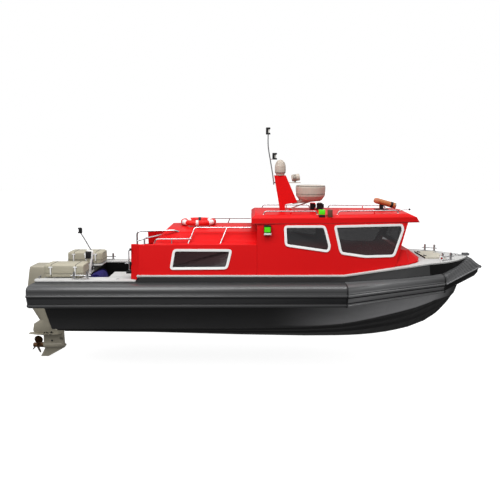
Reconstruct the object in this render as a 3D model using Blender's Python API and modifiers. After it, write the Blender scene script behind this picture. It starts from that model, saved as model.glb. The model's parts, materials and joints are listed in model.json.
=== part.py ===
"""Fast cabin passenger boat with a foam collar and one outboard engine.

Metres. +X is forward, +Y is port, +Z is up, and z = 0 is the waterline.
Run it with: blender --background --python part.py
"""

import math

import bmesh
import bpy
from mathutils import Matrix, Vector

# Gap that touching pieces keep between their faces.
GAP = 0.0003

# Deck and hull.
DECK_THICK = 0.03
AFT_DECK_TOP = 0.89
SIDE_DECK_TOP = 0.99
FORE_DECK_TOP = 1.18
DECK_STEP_X = -2.20
DECK_AFT_X = -4.265
TRANSOM_FOOT = Vector((-3.88, 0.0, -0.51))
TRANSOM_RAKE = 0.242
CABIN_SOLE = 0.10
COCKPIT_SOLE = 0.30
COCKPIT_AFT_X = -3.33
COCKPIT_HALF = 0.93
BULKHEAD_X = -1.93
WING_AFT_X = -2.36
WELL_HALF = 0.50
WELL_FORE_X = -3.43
WELL_FLOOR = 0.05
SILL_TOP = 0.25
NOTCH_HALF = 1.03
NOTCH_X = -4.12
SILL_THICK = 0.07

# Superstructure.
WALL_THICK = 0.04
WALL_TOP = 1.97
ROOF_EDGE_Z = 2.14
ROOF_CENTRE_Z = 2.175
TRUNK_CENTRE_Z = 1.86
DOOR_HALF = 0.32
DOOR_FOOT = 0.36
DOOR_TOP = 1.50
DOOR_THICK = 0.035

# Engine.
TILT_AXIS = Vector((-4.16, 0.0, 0.30))
STEER_X = -4.30
PROP_CENTRE = Vector((-4.69, 0.0, -0.82))

RED = ("red_gelcoat", (0.58, 0.012, 0.016), 0.35, 0.0)
DARK_HULL = ("dark_hull", (0.014, 0.014, 0.015), 0.45, 0.0)
COLLAR_GREY = ("collar_grey", (0.065, 0.067, 0.070), 0.50, 0.0)
DECK_GREY = ("deck_grey", (0.56, 0.57, 0.57), 0.65, 0.0)
BEIGE = ("engine_beige", (0.42, 0.38, 0.30), 0.40, 0.0)
RAFT = ("raft_beige", (0.46, 0.43, 0.34), 0.50, 0.0)
STEEL = ("polished_steel", (0.68, 0.69, 0.70), 0.22, 1.0)
BLACK = ("black_plastic", (0.010, 0.010, 0.011), 0.50, 0.0)
BRONZE = ("dark_bronze", (0.09, 0.055, 0.035), 0.35, 1.0)
DOME = ("dome_beige", (0.46, 0.40, 0.34), 0.45, 0.0)
GREEN = ("green_lens", (0.10, 0.60, 0.01), 0.25, 0.0)
LENS_RED = ("red_lens", (0.60, 0.01, 0.01), 0.25, 0.0)
BLUE = ("blue_fabric", (0.005, 0.001, 0.16), 0.80, 0.0)
LAMP_BROWN = ("searchlight_brown", (0.45, 0.17, 0.05), 0.40, 0.0)
SEAT_GREY = ("seat_grey", (0.10, 0.10, 0.11), 0.75, 0.0)


def clear_scene():
    for obj in list(bpy.data.objects):
        bpy.data.objects.remove(obj, do_unlink=True)


def new_collection(name, hidden=False):
    collection = bpy.data.collections.new(name)
    bpy.context.scene.collection.children.link(collection)
    collection.hide_render = hidden
    return collection


def material(spec):
    name, colour, roughness, metallic = spec
    found = bpy.data.materials.get(name)
    if found:
        return found
    made = bpy.data.materials.new(name)
    made.use_nodes = True
    shader = made.node_tree.nodes["Principled BSDF"]
    shader.inputs["Base Color"].default_value = (*colour, 1.0)
    shader.inputs["Roughness"].default_value = roughness
    shader.inputs["Metallic"].default_value = metallic
    made.diffuse_color = (*colour, 1.0)
    return made


def object_of(name, data, spec=None):
    """Link a new object; with no material it is a cutter, hidden from the render."""
    obj = bpy.data.objects.new(name, data)
    if spec:
        bpy.data.collections["passenger_boat"].objects.link(obj)
        data.materials.append(material(spec))
    else:
        bpy.data.collections["cutters"].objects.link(obj)
        obj.hide_render = True
        obj.display_type = "WIRE"
    return obj


def from_bmesh(name, bm, spec=None):
    bmesh.ops.recalc_face_normals(bm, faces=bm.faces)
    data = bpy.data.meshes.new(name)
    bm.to_mesh(data)
    bm.free()
    return object_of(name, data, spec)


def mesh_from_curve(name, curve_obj, spec=None):
    """Turn a curve object into a welded mesh object and drop the curve."""
    graph = bpy.context.evaluated_depsgraph_get()
    data = bpy.data.meshes.new_from_object(curve_obj.evaluated_get(graph))
    bm = bmesh.new()
    bm.from_mesh(data)
    bm.transform(curve_obj.matrix_world)
    bmesh.ops.remove_doubles(bm, verts=bm.verts, dist=1e-5)
    bpy.data.objects.remove(curve_obj, do_unlink=True)
    return from_bmesh(name, bm, spec)


def bevel(obj, width, segments=2, angle=30.0):
    modifier = obj.modifiers.new("bevel", "BEVEL")
    modifier.width = width
    modifier.segments = segments
    modifier.limit_method = "ANGLE"
    modifier.angle_limit = math.radians(angle)
    return obj


def boolean(obj, other, operation="DIFFERENCE"):
    modifier = obj.modifiers.new(operation.lower(), "BOOLEAN")
    modifier.operation = operation
    modifier.solver = "EXACT"
    modifier.object = other
    return obj


def displace(obj, distance):
    """Move every face outwards along its normal."""
    modifier = obj.modifiers.new("displace", "DISPLACE")
    modifier.strength = distance
    modifier.mid_level = 0.0
    return obj


def applied(obj):
    """Bake the modifiers into the mesh, so that a later piece can be joined to it."""
    graph = bpy.context.evaluated_depsgraph_get()
    data = bpy.data.meshes.new_from_object(obj.evaluated_get(graph))
    obj.modifiers.clear()
    obj.data = data
    return obj


def joined(name, pieces, spec):
    """Union several overlapping mesh objects into one named piece."""
    first, *others = pieces
    for other in others:
        boolean(first, other, "UNION")
    applied(first)
    for other in others:
        bpy.data.objects.remove(other, do_unlink=True)
    first.data.materials.clear()
    bm = bmesh.new()
    bm.from_mesh(first.data)
    bmesh.ops.remove_doubles(bm, verts=bm.verts, dist=1e-5)
    bmesh.ops.dissolve_degenerate(bm, edges=bm.edges, dist=1e-6)
    bm.to_mesh(first.data)
    bm.free()
    result = object_of(name, first.data, spec)
    bpy.data.objects.remove(first, do_unlink=True)
    return result


def box(name, low, high, spec=None):
    low, high = Vector(low), Vector(high)
    bm = bmesh.new()
    bmesh.ops.create_cube(bm, size=1.0)
    bmesh.ops.scale(bm, vec=high - low, verts=bm.verts)
    bmesh.ops.translate(bm, vec=(low + high) / 2, verts=bm.verts)
    return from_bmesh(name, bm, spec)


def cylinder(name, start, end, radius, spec=None, end_radius=None, segments=20):
    start, end = Vector(start), Vector(end)
    axis = end - start
    bm = bmesh.new()
    bmesh.ops.create_cone(
        bm,
        cap_ends=True,
        segments=segments,
        radius1=radius,
        radius2=radius if end_radius is None else end_radius,
        depth=axis.length,
    )
    turn = Vector((0.0, 0.0, 1.0)).rotation_difference(axis).to_matrix().to_4x4()
    bm.transform(Matrix.Translation((start + end) / 2) @ turn)
    return from_bmesh(name, bm, spec)


def turned(name, profile, centre, spec=None, steps=28):
    """Turn a (radius, height) profile about the vertical through the centre."""
    bm = bmesh.new()
    verts = [bm.verts.new((radius, 0.0, height)) for radius, height in profile]
    for first, second in zip(verts, verts[1:]):
        bm.edges.new((first, second))
    data = bpy.data.meshes.new(name)
    bm.to_mesh(data)
    bm.free()
    obj = object_of(name, data, spec)
    obj.location = centre
    screw = obj.modifiers.new("screw", "SCREW")
    screw.steps = steps
    screw.render_steps = steps
    screw.use_merge_vertices = True
    screw.merge_threshold = 0.0001
    screw.use_normal_calculate = True
    return obj


def rounded(points, radius, steps=4):
    """Replace the inner corners of a polyline by arcs."""
    points = [Vector(point) for point in points]
    result = [points[0]]
    for before, corner, after in zip(points, points[1:], points[2:]):
        to_before = before - corner
        to_after = after - corner
        reach = min(radius, to_before.length * 0.45, to_after.length * 0.45)
        start = corner + to_before.normalized() * reach
        end = corner + to_after.normalized() * reach
        for step in range(steps + 1):
            t = step / steps
            result.append(start * (1 - t) ** 2 + corner * 2 * t * (1 - t) + end * t ** 2)
    result.append(points[-1])
    return result


def rounded_outline(points, radius, steps=4):
    """Round every corner of a closed 2D outline."""
    count = len(points)
    result = []
    for index in range(count):
        before = Vector(points[index - 1])
        corner = Vector(points[index])
        after = Vector(points[(index + 1) % count])
        result += rounded([before, corner, after], radius, steps)[1:-1]
    return result


def tube(name, points, radius, spec=None, bend=0.05, resolution=2):
    curve = bpy.data.curves.new(name, "CURVE")
    curve.dimensions = "3D"
    curve.bevel_depth = radius
    curve.bevel_resolution = resolution
    curve.use_fill_caps = True
    path = rounded(points, bend, steps=3) if len(points) > 2 else [Vector(p) for p in points]
    spline = curve.splines.new("POLY")
    spline.points.add(len(path) - 1)
    for slot, point in zip(spline.points, path):
        slot.co = (*point, 1.0)
    holder = bpy.data.objects.new(name + "_curve", curve)
    bpy.data.collections["cutters"].objects.link(holder)
    bpy.context.view_layer.update()
    return mesh_from_curve(name, holder, spec)


def rail(name, runs, radius, spec=STEEL, bend=0.05):
    """Union of several tube runs, each a list of points."""
    pieces = [tube(f"{name}_run{n}", run, radius, None, bend) for n, run in enumerate(runs)]
    return joined(name, pieces, spec)


def plate(name, outline, thickness, frame, spec=None):
    """A closed flat outline of (u, v) points, extruded about the frame's own plane."""
    curve = bpy.data.curves.new(name, "CURVE")
    curve.dimensions = "2D"
    curve.fill_mode = "BOTH"
    curve.extrude = thickness / 2
    spline = curve.splines.new("POLY")
    spline.points.add(len(outline) - 1)
    for slot, point in zip(spline.points, outline):
        slot.co = (point[0], point[1], 0.0, 1.0)
    spline.use_cyclic_u = True
    holder = bpy.data.objects.new(name + "_curve", curve)
    holder.matrix_world = frame
    bpy.data.collections["cutters"].objects.link(holder)
    bpy.context.view_layer.update()
    return mesh_from_curve(name, holder, spec)


def upright(y):
    """Frame of a plate drawn in x and z, standing at this y."""
    return Matrix.Translation((0.0, y, 0.0)) @ Matrix.Rotation(math.radians(90), 4, "X")


def cap(bm, loop):
    """End face: strips across from a keel point, or halves folded on the centre line."""
    count = len(loop)
    middle = count // 2
    if abs(loop[0].co.y) > 1e-9:
        bm.faces.new(loop)
    elif abs(loop[middle].co.y) < 1e-9:
        bm.faces.new(loop[: middle + 1])
        bm.faces.new(loop[middle:] + loop[:1])
    else:
        bm.faces.new((loop[0], loop[1], loop[-1]))
        for low in range(1, middle):
            bm.faces.new((loop[low], loop[low + 1], loop[count - low - 1], loop[count - low]))


def skin(name, rings, spec=None):
    """Skin closed rings of equal length, in order, with closed ends.

    Each quad is split along a diagonal that both halves of the boat share.
    """
    bm = bmesh.new()
    loops = [[bm.verts.new(point) for point in ring] for ring in rings]
    for lower, upper in zip(loops, loops[1:]):
        for index in range(len(lower)):
            after = (index + 1) % len(lower)
            quad = [lower[index], lower[after], upper[after], upper[index]]
            if index >= len(lower) // 2:
                quad = quad[1:] + quad[:1]
            bm.faces.new((quad[0], quad[1], quad[2]))
            bm.faces.new((quad[0], quad[2], quad[3]))
    cap(bm, loops[0])
    cap(bm, loops[-1])
    bmesh.ops.remove_doubles(bm, verts=bm.verts, dist=1e-6)
    return from_bmesh(name, bm, spec)


def both_sides(half):
    """A ring from its port half: points on the centre line stay single."""
    mirrored = [Vector((x, -y, z)) for x, y, z in reversed(half) if abs(y) > 1e-9]
    return [Vector(point) for point in half] + mirrored


def mirror_points(points, side):
    return [Vector((x, y * side, z)) for x, y, z in points]


# Hull lines, port half. Each station runs keel, chine, knuckle, deck edge.
# Columns: keel x, keel z | chine x, y, z | knuckle x, y, z | deck edge x, y, z
HULL_STATIONS = (
    (-2.24, -0.532, -2.24, 1.150, -0.118, -2.24, 1.258, 0.620, -2.24, 1.270, 0.860),
    (-2.14, -0.533, -2.14, 1.150, -0.117, -2.14, 1.258, 0.640, -2.14, 1.270, 0.960),
    (-0.20, -0.587, -0.20, 1.150, -0.105, -0.20, 1.260, 0.640, -0.20, 1.270, 0.960),
    (1.20, -0.612, 1.20, 1.145, -0.070, 1.20, 1.262, 0.750, 1.20, 1.270, 0.960),
    (1.90, -0.608, 1.85, 1.115, -0.030, 1.85, 1.270, 0.860, 1.85, 1.265, 0.960),
    (2.45, -0.585, 2.45, 1.020, 0.050, 2.60, 1.215, 0.900, 2.60, 1.160, 1.042),
    (2.98, -0.522, 3.00, 0.880, 0.120, 3.10, 1.165, 0.925, 3.10, 1.085, 1.096),
    (3.47, -0.412, 3.40, 0.730, 0.180, 3.60, 1.060, 0.950, 3.60, 0.985, 1.150),
    (3.82, -0.270, 3.80, 0.500, 0.276, 3.95, 0.905, 0.975, 3.95, 0.831, 1.150),
    (4.00, -0.150, 4.00, 0.375, 0.316, 4.15, 0.745, 1.010, 4.15, 0.693, 1.150),
    (4.14, -0.027, 4.17, 0.260, 0.352, 4.35, 0.525, 1.050, 4.35, 0.501, 1.150),
    (4.32, 0.185, 4.35, 0.120, 0.415, 4.54, 0.280, 1.090, 4.54, 0.263, 1.150),
    (4.44, 0.355, 4.455, 0.012, 0.400, 4.69, 0.020, 1.120, 4.69, 0.020, 1.150),
)
BOW_START = 4
CURVED_COLUMNS = (1, 3, 4)
CHINE_FLAT = 0.05
STRAKES = (0.40, 0.74)
STRAKE_SPAN = 0.07


def transom_x(z):
    return TRANSOM_FOOT.x - TRANSOM_RAKE * (z - TRANSOM_FOOT.z)


def transom_station():
    """The raked aft end, in the columns of HULL_STATIONS."""
    heights = (-0.51, -0.126, 0.62, AFT_DECK_TOP - DECK_THICK)
    keel_x, chine_x, knuckle_x, edge_x = (transom_x(z) for z in heights)
    return (
        keel_x, heights[0], chine_x, 1.150, heights[1],
        knuckle_x, 1.258, heights[2], edge_x, 1.270, heights[3],
    )


def hull_stations():
    """Transom and table stations, with curved midpoints of keel and chine in the bow."""
    rows = HULL_STATIONS
    result = [transom_station()] + list(rows[:BOW_START])
    for index in range(BOW_START, len(rows) - 1):
        near, far = rows[index], rows[index + 1]
        before = rows[index - 1]
        after = rows[min(index + 2, len(rows) - 1)]
        middle = [(p + q) / 2 for p, q in zip(near, far)]
        for column in CURVED_COLUMNS:
            outer = before[column] + after[column]
            middle[column] = (9 * (near[column] + far[column]) - outer) / 16
        result += [near, tuple(middle)]
    return result + [rows[-1]]


def hull_ring(station, raised=False):
    """One closed hull section with its spray strakes and chine flat.

    A raised ring is a little larger, for the cutter that shapes the collar.
    """
    keel_x, keel_z, chine_x, chine_y, chine_z = station[:5]
    knuckle, edge = Vector(station[5:8]), Vector(station[8:11])
    keel = Vector((keel_x, 0.0, keel_z))
    chine_in = Vector((chine_x, max(chine_y - CHINE_FLAT, chine_y * 0.6), chine_z - 0.004))
    chine = Vector((chine_x, chine_y, chine_z))
    half = [keel]
    for share in STRAKES:
        inner = keel.lerp(chine_in, share)
        outer = keel.lerp(chine_in, share + STRAKE_SPAN)
        half += [inner, Vector((outer.x, outer.y, inner.z)), outer]
    half += [chine_in, chine, knuckle, edge]
    if raised:
        forward = 0.002 if keel_x > 3.4 else -0.002 if keel_x < -3.5 else 0.0
        half = [half[0]] + [point + Vector((forward, 0.001, 0.0)) for point in half[1:]]
        half[0].x += forward
        brim = half[-1] + Vector((forward, 0.0075, 0.0))
        half += [brim, brim + Vector((0.0, 0.0, 0.3))]
    return both_sides(half)


def add_hull():
    hull = skin("hull", [hull_ring(station) for station in hull_stations()], DARK_HULL)
    aft_edge = transom_x(SILL_TOP)
    cabin_fore_x = 2.72
    cutters = [
        box(
            "cut_cockpit",
            (COCKPIT_AFT_X, -COCKPIT_HALF, COCKPIT_SOLE),
            (BULKHEAD_X - GAP, COCKPIT_HALF, 2.0),
        ),
        box(
            "cut_engine_well",
            (aft_edge + SILL_THICK, -WELL_HALF, WELL_FLOOR),
            (WELL_FORE_X, WELL_HALF, 2.0),
        ),
        box("cut_sill", (-5.0, -WELL_HALF, SILL_TOP), (WELL_FORE_X, WELL_HALF, 2.0)),
        box("cut_notch", (-5.0, -NOTCH_HALF, SILL_TOP), (NOTCH_X, NOTCH_HALF, 2.0)),
        box(
            "cut_door_foot",
            (BULKHEAD_X - 0.01, -DOOR_HALF, DOOR_FOOT),
            (BULKHEAD_X + 0.2, DOOR_HALF, 2.0),
        ),
        box("cut_fore_locker", (3.70, -0.25, 0.75), (4.07, 0.25, 2.0)),
    ]
    cabin_aft_x = BULKHEAD_X + 0.06
    plan = both_sides([(cabin_aft_x, 1.02, 0), (1.60, 1.02, 0), (cabin_fore_x, 0.84, 0)])
    low = [Vector((p.x, p.y, CABIN_SOLE)) for p in plan]
    high = [Vector((p.x, p.y, 2.0)) for p in plan]
    cutters.append(skin("cut_cabin", [low, high]))
    for cutter in cutters:
        boolean(hull, cutter)
    return hull


def deck_ring(x, half_width, top):
    low = top - DECK_THICK + GAP
    return both_sides([(x, half_width, low), (x, half_width, top)])


def cockpit_cutter(name):
    """The cockpit's opening in the deck."""
    low = (COCKPIT_AFT_X, -COCKPIT_HALF, 0.5)
    return box(name, low, (BULKHEAD_X - GAP, COCKPIT_HALF, 1.2))


def add_aft_deck(side, side_name):
    """One half of the deck beside the cockpit and the engine well."""
    top = AFT_DECK_TOP
    rings = [
        deck_ring(DECK_AFT_X, 1.10, top),
        deck_ring(DECK_AFT_X + 0.012, 1.20, top),
        deck_ring(DECK_AFT_X + 0.045, 1.255, top),
        deck_ring(DECK_AFT_X + 0.090, 1.275, top),
        deck_ring(DECK_STEP_X - 0.045, 1.275, top),
    ]
    deck = skin(f"aft_deck_{side_name}", rings, DECK_GREY)
    across = sorted((WELL_HALF * side, -2.0 * side))
    boolean(deck, box("cut_deck_well", (-5.0, across[0], 0.5), (-2.0, across[1], 1.2)))
    notch_low = (-5.0, -NOTCH_HALF, 0.5)
    boolean(deck, box("cut_deck_notch", notch_low, (NOTCH_X, NOTCH_HALF, 1.2)))
    return boolean(deck, cockpit_cutter("cut_deck_cockpit"))


# Deck edge of the raised part, port half: x, half width, top height.
RAISED_DECK = (
    (DECK_STEP_X - 0.02, 1.275, SIDE_DECK_TOP),
    (1.85, 1.272, SIDE_DECK_TOP),
    (2.60, 1.167, 1.072),
    (3.10, 1.092, 1.126),
    (3.60, 0.992, FORE_DECK_TOP),
    (3.95, 0.838, FORE_DECK_TOP),
    (4.15, 0.700, FORE_DECK_TOP),
    (4.35, 0.508, FORE_DECK_TOP),
    (4.54, 0.270, FORE_DECK_TOP),
    (4.69, 0.027, FORE_DECK_TOP),
)


def add_side_deck():
    """Gunwale along the cabin and the foredeck, in one moulding."""
    rings = [deck_ring(x, half, top) for x, half, top in RAISED_DECK]
    deck = skin("foredeck_and_gunwale", rings, DECK_GREY)
    inset = 0.05
    plan = both_sides(
        [
            (BULKHEAD_X + WALL_THICK + 0.01, 1.22 - inset, 0),
            (1.83, 1.215 - inset, 0),
            (2.70, 1.05 - inset, 0),
        ]
    )
    low = [Vector((p.x, p.y, 0.5)) for p in plan]
    high = [Vector((p.x, p.y, 1.6)) for p in plan]
    boolean(deck, skin("cut_deck_house", [low, high]))
    boolean(deck, cockpit_cutter("cut_side_deck_cockpit"))
    door_low = (BULKHEAD_X - 0.1, -DOOR_HALF, 0.5)
    boolean(deck, box("cut_deck_door", door_low, (BULKHEAD_X + 0.2, DOOR_HALF, 1.2)))
    boolean(deck, box("cut_hatch", (3.70, -0.25, 0.8), (4.07, 0.25, 1.6)))
    return deck


# Collar sections, port side: top inner, outermost and bottom inner points.
# Columns: top x, y, z | outer x, y | bottom x, y, z
COLLAR_STATIONS = {
    "stern": (-4.252, 1.24, 0.855, -4.288, 1.650, -4.284, 1.19, 0.390),
    "stern_face": (-4.225, 1.24, 0.855, -4.262, 1.650, -4.258, 1.19, 0.390),
    "kink": (1.85, 1.24, 0.858, 1.88, 1.645, 1.85, 1.17, 0.400),
    "joint": (3.865, 0.92, 0.965, 3.875, 1.215, 3.865, 0.74, 0.600),
    "nose": (4.56, 0.10, 1.187, 4.925, 0.180, 4.50, 0.06, 0.580),
}
# Share of the way out, share of the way up.
COLLAR_PROFILE = (
    (0.0, 0.0), (0.60, 0.0), (0.80, 0.03), (0.90, 0.08), (0.92, 0.13), (0.86, 0.19),
    (0.86, 0.24), (0.90, 0.34), (0.93, 0.44), (0.93, 0.48), (1.00, 0.52), (1.00, 0.58),
    (0.94, 0.62), (0.94, 0.72), (0.92, 0.82), (0.86, 0.91), (0.70, 0.97), (0.0, 1.0),
)
BOW_JOINT_PROFILE = (
    (0.0, 0.0), (0.30, 0.01), (0.62, 0.05), (0.82, 0.17), (0.90, 0.34), (0.93, 0.45),
    (0.94, 0.49), (1.00, 0.525), (1.00, 0.580), (0.94, 0.62), (0.88, 0.78), (0.70, 0.92),
    (0.40, 0.99), (0.0, 1.0),
)
BOW_PROFILE = (
    (0.0, 0.0), (0.12, 0.045), (0.41, 0.16), (0.72, 0.305), (0.86, 0.44), (0.88, 0.54),
    (0.93, 0.59), (1.00, 0.615), (1.00, 0.655), (0.94, 0.69), (0.75, 0.775), (0.47, 0.92),
    (0.15, 1.0), (0.0, 0.95),
)


def collar_ring(station, side=1, shrink=0.0, profile=COLLAR_PROFILE):
    top = Vector(station[:3])
    outer = Vector(station[3:5])
    bottom = Vector(station[5:8])
    ring = []
    for out, up in profile:
        inner = bottom.lerp(top, up)
        away = Vector((outer.x - inner.x, outer.y - inner.y, 0.0)) * out * (1 - shrink)
        centre_up = inner.z + ((top.z + bottom.z) / 2 - inner.z) * shrink
        ring.append(Vector((inner.x + away.x, (inner.y + away.y) * side, centre_up)))
    return ring


def add_collar():
    """Five foam lengths, each cut to lie against the hull side."""
    grown = skin("cut_hull_side", [hull_ring(station, True) for station in hull_stations()])
    rows = COLLAR_STATIONS
    seam = 0.0015
    for side, side_name in ((1, "port"), (-1, "starboard")):
        aft = [
            collar_ring(rows["stern"], side, 0.05),
            collar_ring(rows["stern_face"], side),
            collar_ring(moved(rows["kink"], -seam), side),
        ]
        fore = [
            collar_ring(moved(rows["kink"], seam), side),
            collar_ring(moved(rows["joint"], -seam), side),
        ]
        for part, rings in (("aft", aft), ("fore", fore)):
            boolean(skin(f"collar_{part}_{side_name}", rings, COLLAR_GREY), grown)
    bow_joint = moved(rows["joint"], seam)
    bow = [
        collar_ring(bow_joint, 1, 0.0, BOW_JOINT_PROFILE),
        collar_ring(rows["nose"], 1, 0.0, BOW_PROFILE),
        collar_ring(rows["nose"], -1, 0.0, BOW_PROFILE),
        collar_ring(bow_joint, -1, 0.0, BOW_JOINT_PROFILE),
    ]
    boolean(skin("collar_bow", bow, COLLAR_GREY), grown)


def moved(station, along):
    """Shift a collar station forward."""
    shifted = list(station)
    for column in (0, 3, 5):
        shifted[column] += along
    return tuple(shifted)


def plane_y(points, x, z):
    """Y at this x and z on the plane through three points."""
    base, along, up = (Vector(p) for p in points)
    normal = (along - base).cross(up - base)
    return base.y - (normal.x * (x - base.x) + normal.z * (z - base.z)) / normal.y


# Corners of the side walls, port side, on their base and top lines.
BASE_Z = 0.80
SIDE_BASE = (-2.20, 1.222, SIDE_DECK_TOP)
SIDE_CREASE_BASE = (0.61, 1.220, SIDE_DECK_TOP)
SIDE_CREASE_TOP = (0.61, 1.012, WALL_TOP)
SIDE_KINK_BASE = (1.83, 1.195, SIDE_DECK_TOP)
SIDE_KINK_TOP = (1.60, 0.992, WALL_TOP)
SIDE_FRONT_TOP = (3.20, 0.720, WALL_TOP)
SIDE_PLANES = {
    "aft": (SIDE_BASE, SIDE_CREASE_BASE, SIDE_CREASE_TOP),
    "middle": (SIDE_CREASE_BASE, SIDE_KINK_BASE, SIDE_CREASE_TOP),
    "fore": (SIDE_KINK_BASE, SIDE_FRONT_TOP, SIDE_KINK_TOP),
}
FRONT_RAKE = (3.20 - 2.905) / (WALL_TOP - 1.106)


def side_point(plane, x, z):
    return (x, plane_y(SIDE_PLANES[plane], x, z), z)


def front_x(z):
    """X of the raked front wall's outer face."""
    return SIDE_FRONT_TOP[0] - FRONT_RAKE * (WALL_TOP - z)


# Aft cabin levels, port half, from the aft centre line round to the front.
LEDGE_Z = 1.575
STEP_Z = 1.745
CABIN_FORE = 0.14
WING_THICK = 0.045
CABIN_LEVELS = (
    ((WING_AFT_X, 0.0, BASE_Z), (WING_AFT_X, 1.14, BASE_Z), side_point("aft", -2.18, BASE_Z),
     side_point("aft", -1.45, BASE_Z), side_point("aft", CABIN_FORE, BASE_Z),
     (CABIN_FORE, 0.0, BASE_Z)),
    ((WING_AFT_X, 0.0, LEDGE_Z), (WING_AFT_X, 1.02, LEDGE_Z), side_point("aft", -2.18, LEDGE_Z),
     side_point("aft", -1.45, LEDGE_Z), side_point("aft", CABIN_FORE, LEDGE_Z),
     (CABIN_FORE, 0.0, LEDGE_Z)),
    ((-1.908, 0.0, 1.605), (-1.908, 0.90, 1.605), (-1.85, 0.96, 1.605), (-1.45, 0.98, 1.605),
     (CABIN_FORE, 0.98, 1.605), (CABIN_FORE, 0.0, 1.605)),
    ((-1.776, 0.0, STEP_Z), (-1.776, 0.78, STEP_Z), (-1.72, 0.84, STEP_Z),
     (-1.45, 0.851, STEP_Z), (CABIN_FORE, 0.851, STEP_Z), (CABIN_FORE, 0.0, STEP_Z)),
    ((-1.665, 0.0, TRUNK_CENTRE_Z), (-1.725, 0.72, 1.806), (-1.66, 0.79, 1.801),
     (-1.45, 0.80, 1.80), (CABIN_FORE, 0.80, 1.80), (CABIN_FORE, 0.0, TRUNK_CENTRE_Z)),
)
# Wheelhouse levels, port half, from the aft centre line round to the front.
HOUSE_AFT = CABIN_FORE + GAP
HOUSE_LEVELS = (
    ((HOUSE_AFT, 0.0, BASE_Z), side_point("aft", HOUSE_AFT, BASE_Z),
     side_point("middle", 0.61, BASE_Z), side_point("fore", 1.875, BASE_Z),
     side_point("fore", front_x(BASE_Z), BASE_Z), (front_x(BASE_Z), 0.0, BASE_Z)),
    ((HOUSE_AFT, 0.0, WALL_TOP), side_point("aft", HOUSE_AFT, WALL_TOP), SIDE_CREASE_TOP,
     SIDE_KINK_TOP, SIDE_FRONT_TOP, (3.20, 0.0, WALL_TOP)),
)
# The passage between the cabin and the wheelhouse.
PASSAGE_HALF = 0.78
PASSAGE_TOP = 1.70


def under_house():
    """Cutter of everything below the deck's top face, to seat a house on it."""
    low_end = [(-3.0, AFT_DECK_TOP), (DECK_STEP_X - 0.03, AFT_DECK_TOP)]
    profile = low_end + [(x, top) for x, _, top in RAISED_DECK]
    rings = [
        both_sides([(x, 1.5, top - 0.6), (x, 1.5, top + GAP)]) for x, top in profile
    ]
    return skin("cut_under_house", rings)


CORNER_EASE = 0.03


def inner_level(level, thick, lower, bulkhead_x):
    """The level moved inwards by one wall thickness, and down by the given drop."""
    aft = max(min(p[0] for p in level), bulkhead_x) + thick
    fore = max(p[0] for p in level) - thick
    moved_in = []
    for index, (x, y, z) in enumerate(level):
        x = min(max(x, aft + (CORNER_EASE if index == 2 else 0.0)), fore)
        moved_in.append((x, y - thick if y > 0 else 0.0, z - lower))
    return moved_in


def shell(name, levels, spec, thick, top_drop, bulkhead_x=-9.0):
    """A house of one wall thickness, open below; a negative drop opens its top too."""
    body = skin(name, [both_sides(level) for level in levels], spec)
    inner = [inner_level(level, thick, top_drop, bulkhead_x) for level in levels]
    inner[0] = [(x, y, z - 0.4) for x, y, z in inner[0]]
    boolean(body, skin("cut_inside_" + name, [both_sides(level) for level in inner]))
    boolean(body, under_house())
    return body


# Window outlines on the starboard wall: x and z of each corner.
WINDOWS = {
    "aft": ((-1.516, 1.493), (-0.346, 1.488), (-0.440, 1.098), (-1.582, 1.090)),
    "middle": ((0.668, 1.946), (1.492, 1.948), (1.600, 1.526), (1.545, 1.418), (0.686, 1.542)),
    "fore": ((1.654, 1.944), (3.076, 1.950), (3.111, 1.836), (2.893, 1.300), (2.280, 1.302),
             (1.773, 1.386)),
}
WINDOW_RIM = 0.062
WINDOW_THICK = 0.014
WINDSCREEN = ((-0.655, 1.905), (0.655, 1.905), (0.735, 1.500), (-0.735, 1.500))


def wall_frame(points, side):
    """Frame on a wall: u runs along x on the plane, v up, and w outwards."""
    base, along, up = mirror_points(points, side)
    u = (along - base).normalized() * -side
    w = u.cross(up - base).normalized()
    v = w.cross(u)
    frame = Matrix((u, v, w)).transposed().to_4x4()
    return Matrix.Translation(base) @ frame


def on_wall(outline, points, side, frame):
    """The (x, z) outline as (u, v) on the wall plane."""
    inverse = frame.inverted()
    flat = []
    for x, z in outline:
        local = inverse @ Vector((x, plane_y(points, x, z) * side, z))
        flat.append((local.x, local.y))
    return flat


def inset(outline, distance):
    """Move every corner of a convex outline inwards."""
    count = len(outline)
    centre = sum((Vector(p) for p in outline), Vector((0.0, 0.0))) / count
    result = []
    for index in range(count):
        before = Vector(outline[index - 1])
        corner = Vector(outline[index])
        after = Vector(outline[(index + 1) % count])
        edges = []
        for start, end in ((before, corner), (corner, after)):
            normal = Vector((-(end - start).y, (end - start).x)).normalized()
            if normal.dot(centre - start) < 0:
                normal = -normal
            edges.append(normal)
        total = edges[0] + edges[1]
        result.append(corner + total * distance / (1 + edges[0].dot(edges[1])))
    return result


def add_window(name, house, outline, frame, rim, spec=BLACK):
    """Cut the opening in its wall and lay the framed pane over it."""
    hole = rounded_outline(inset(outline, rim * 0.75), 0.05, 3)
    boolean(house, plate("cut_" + name, hole, 0.30, frame))
    proud = frame @ Matrix.Translation((0.0, 0.0, GAP + WINDOW_THICK / 2))
    return plate(name, rounded_outline(outline, 0.075, 3), WINDOW_THICK, proud, spec)


def wing_ring(z):
    """Inner faces of the wing walls at this height, for the recess ahead of them."""
    share = (z - BASE_Z) / (LEDGE_Z - BASE_Z)
    aft_y = 1.14 + (1.02 - 1.14) * share - WING_THICK
    bend = side_point("aft", -2.18, z)[1] - WING_THICK
    fore = side_point("aft", BULKHEAD_X, z)[1] - WING_THICK
    return both_sides([
        (WING_AFT_X - 0.3, aft_y, z), (WING_AFT_X, aft_y, z), (-2.18, bend, z),
        (BULKHEAD_X, fore, z),
    ])


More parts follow.
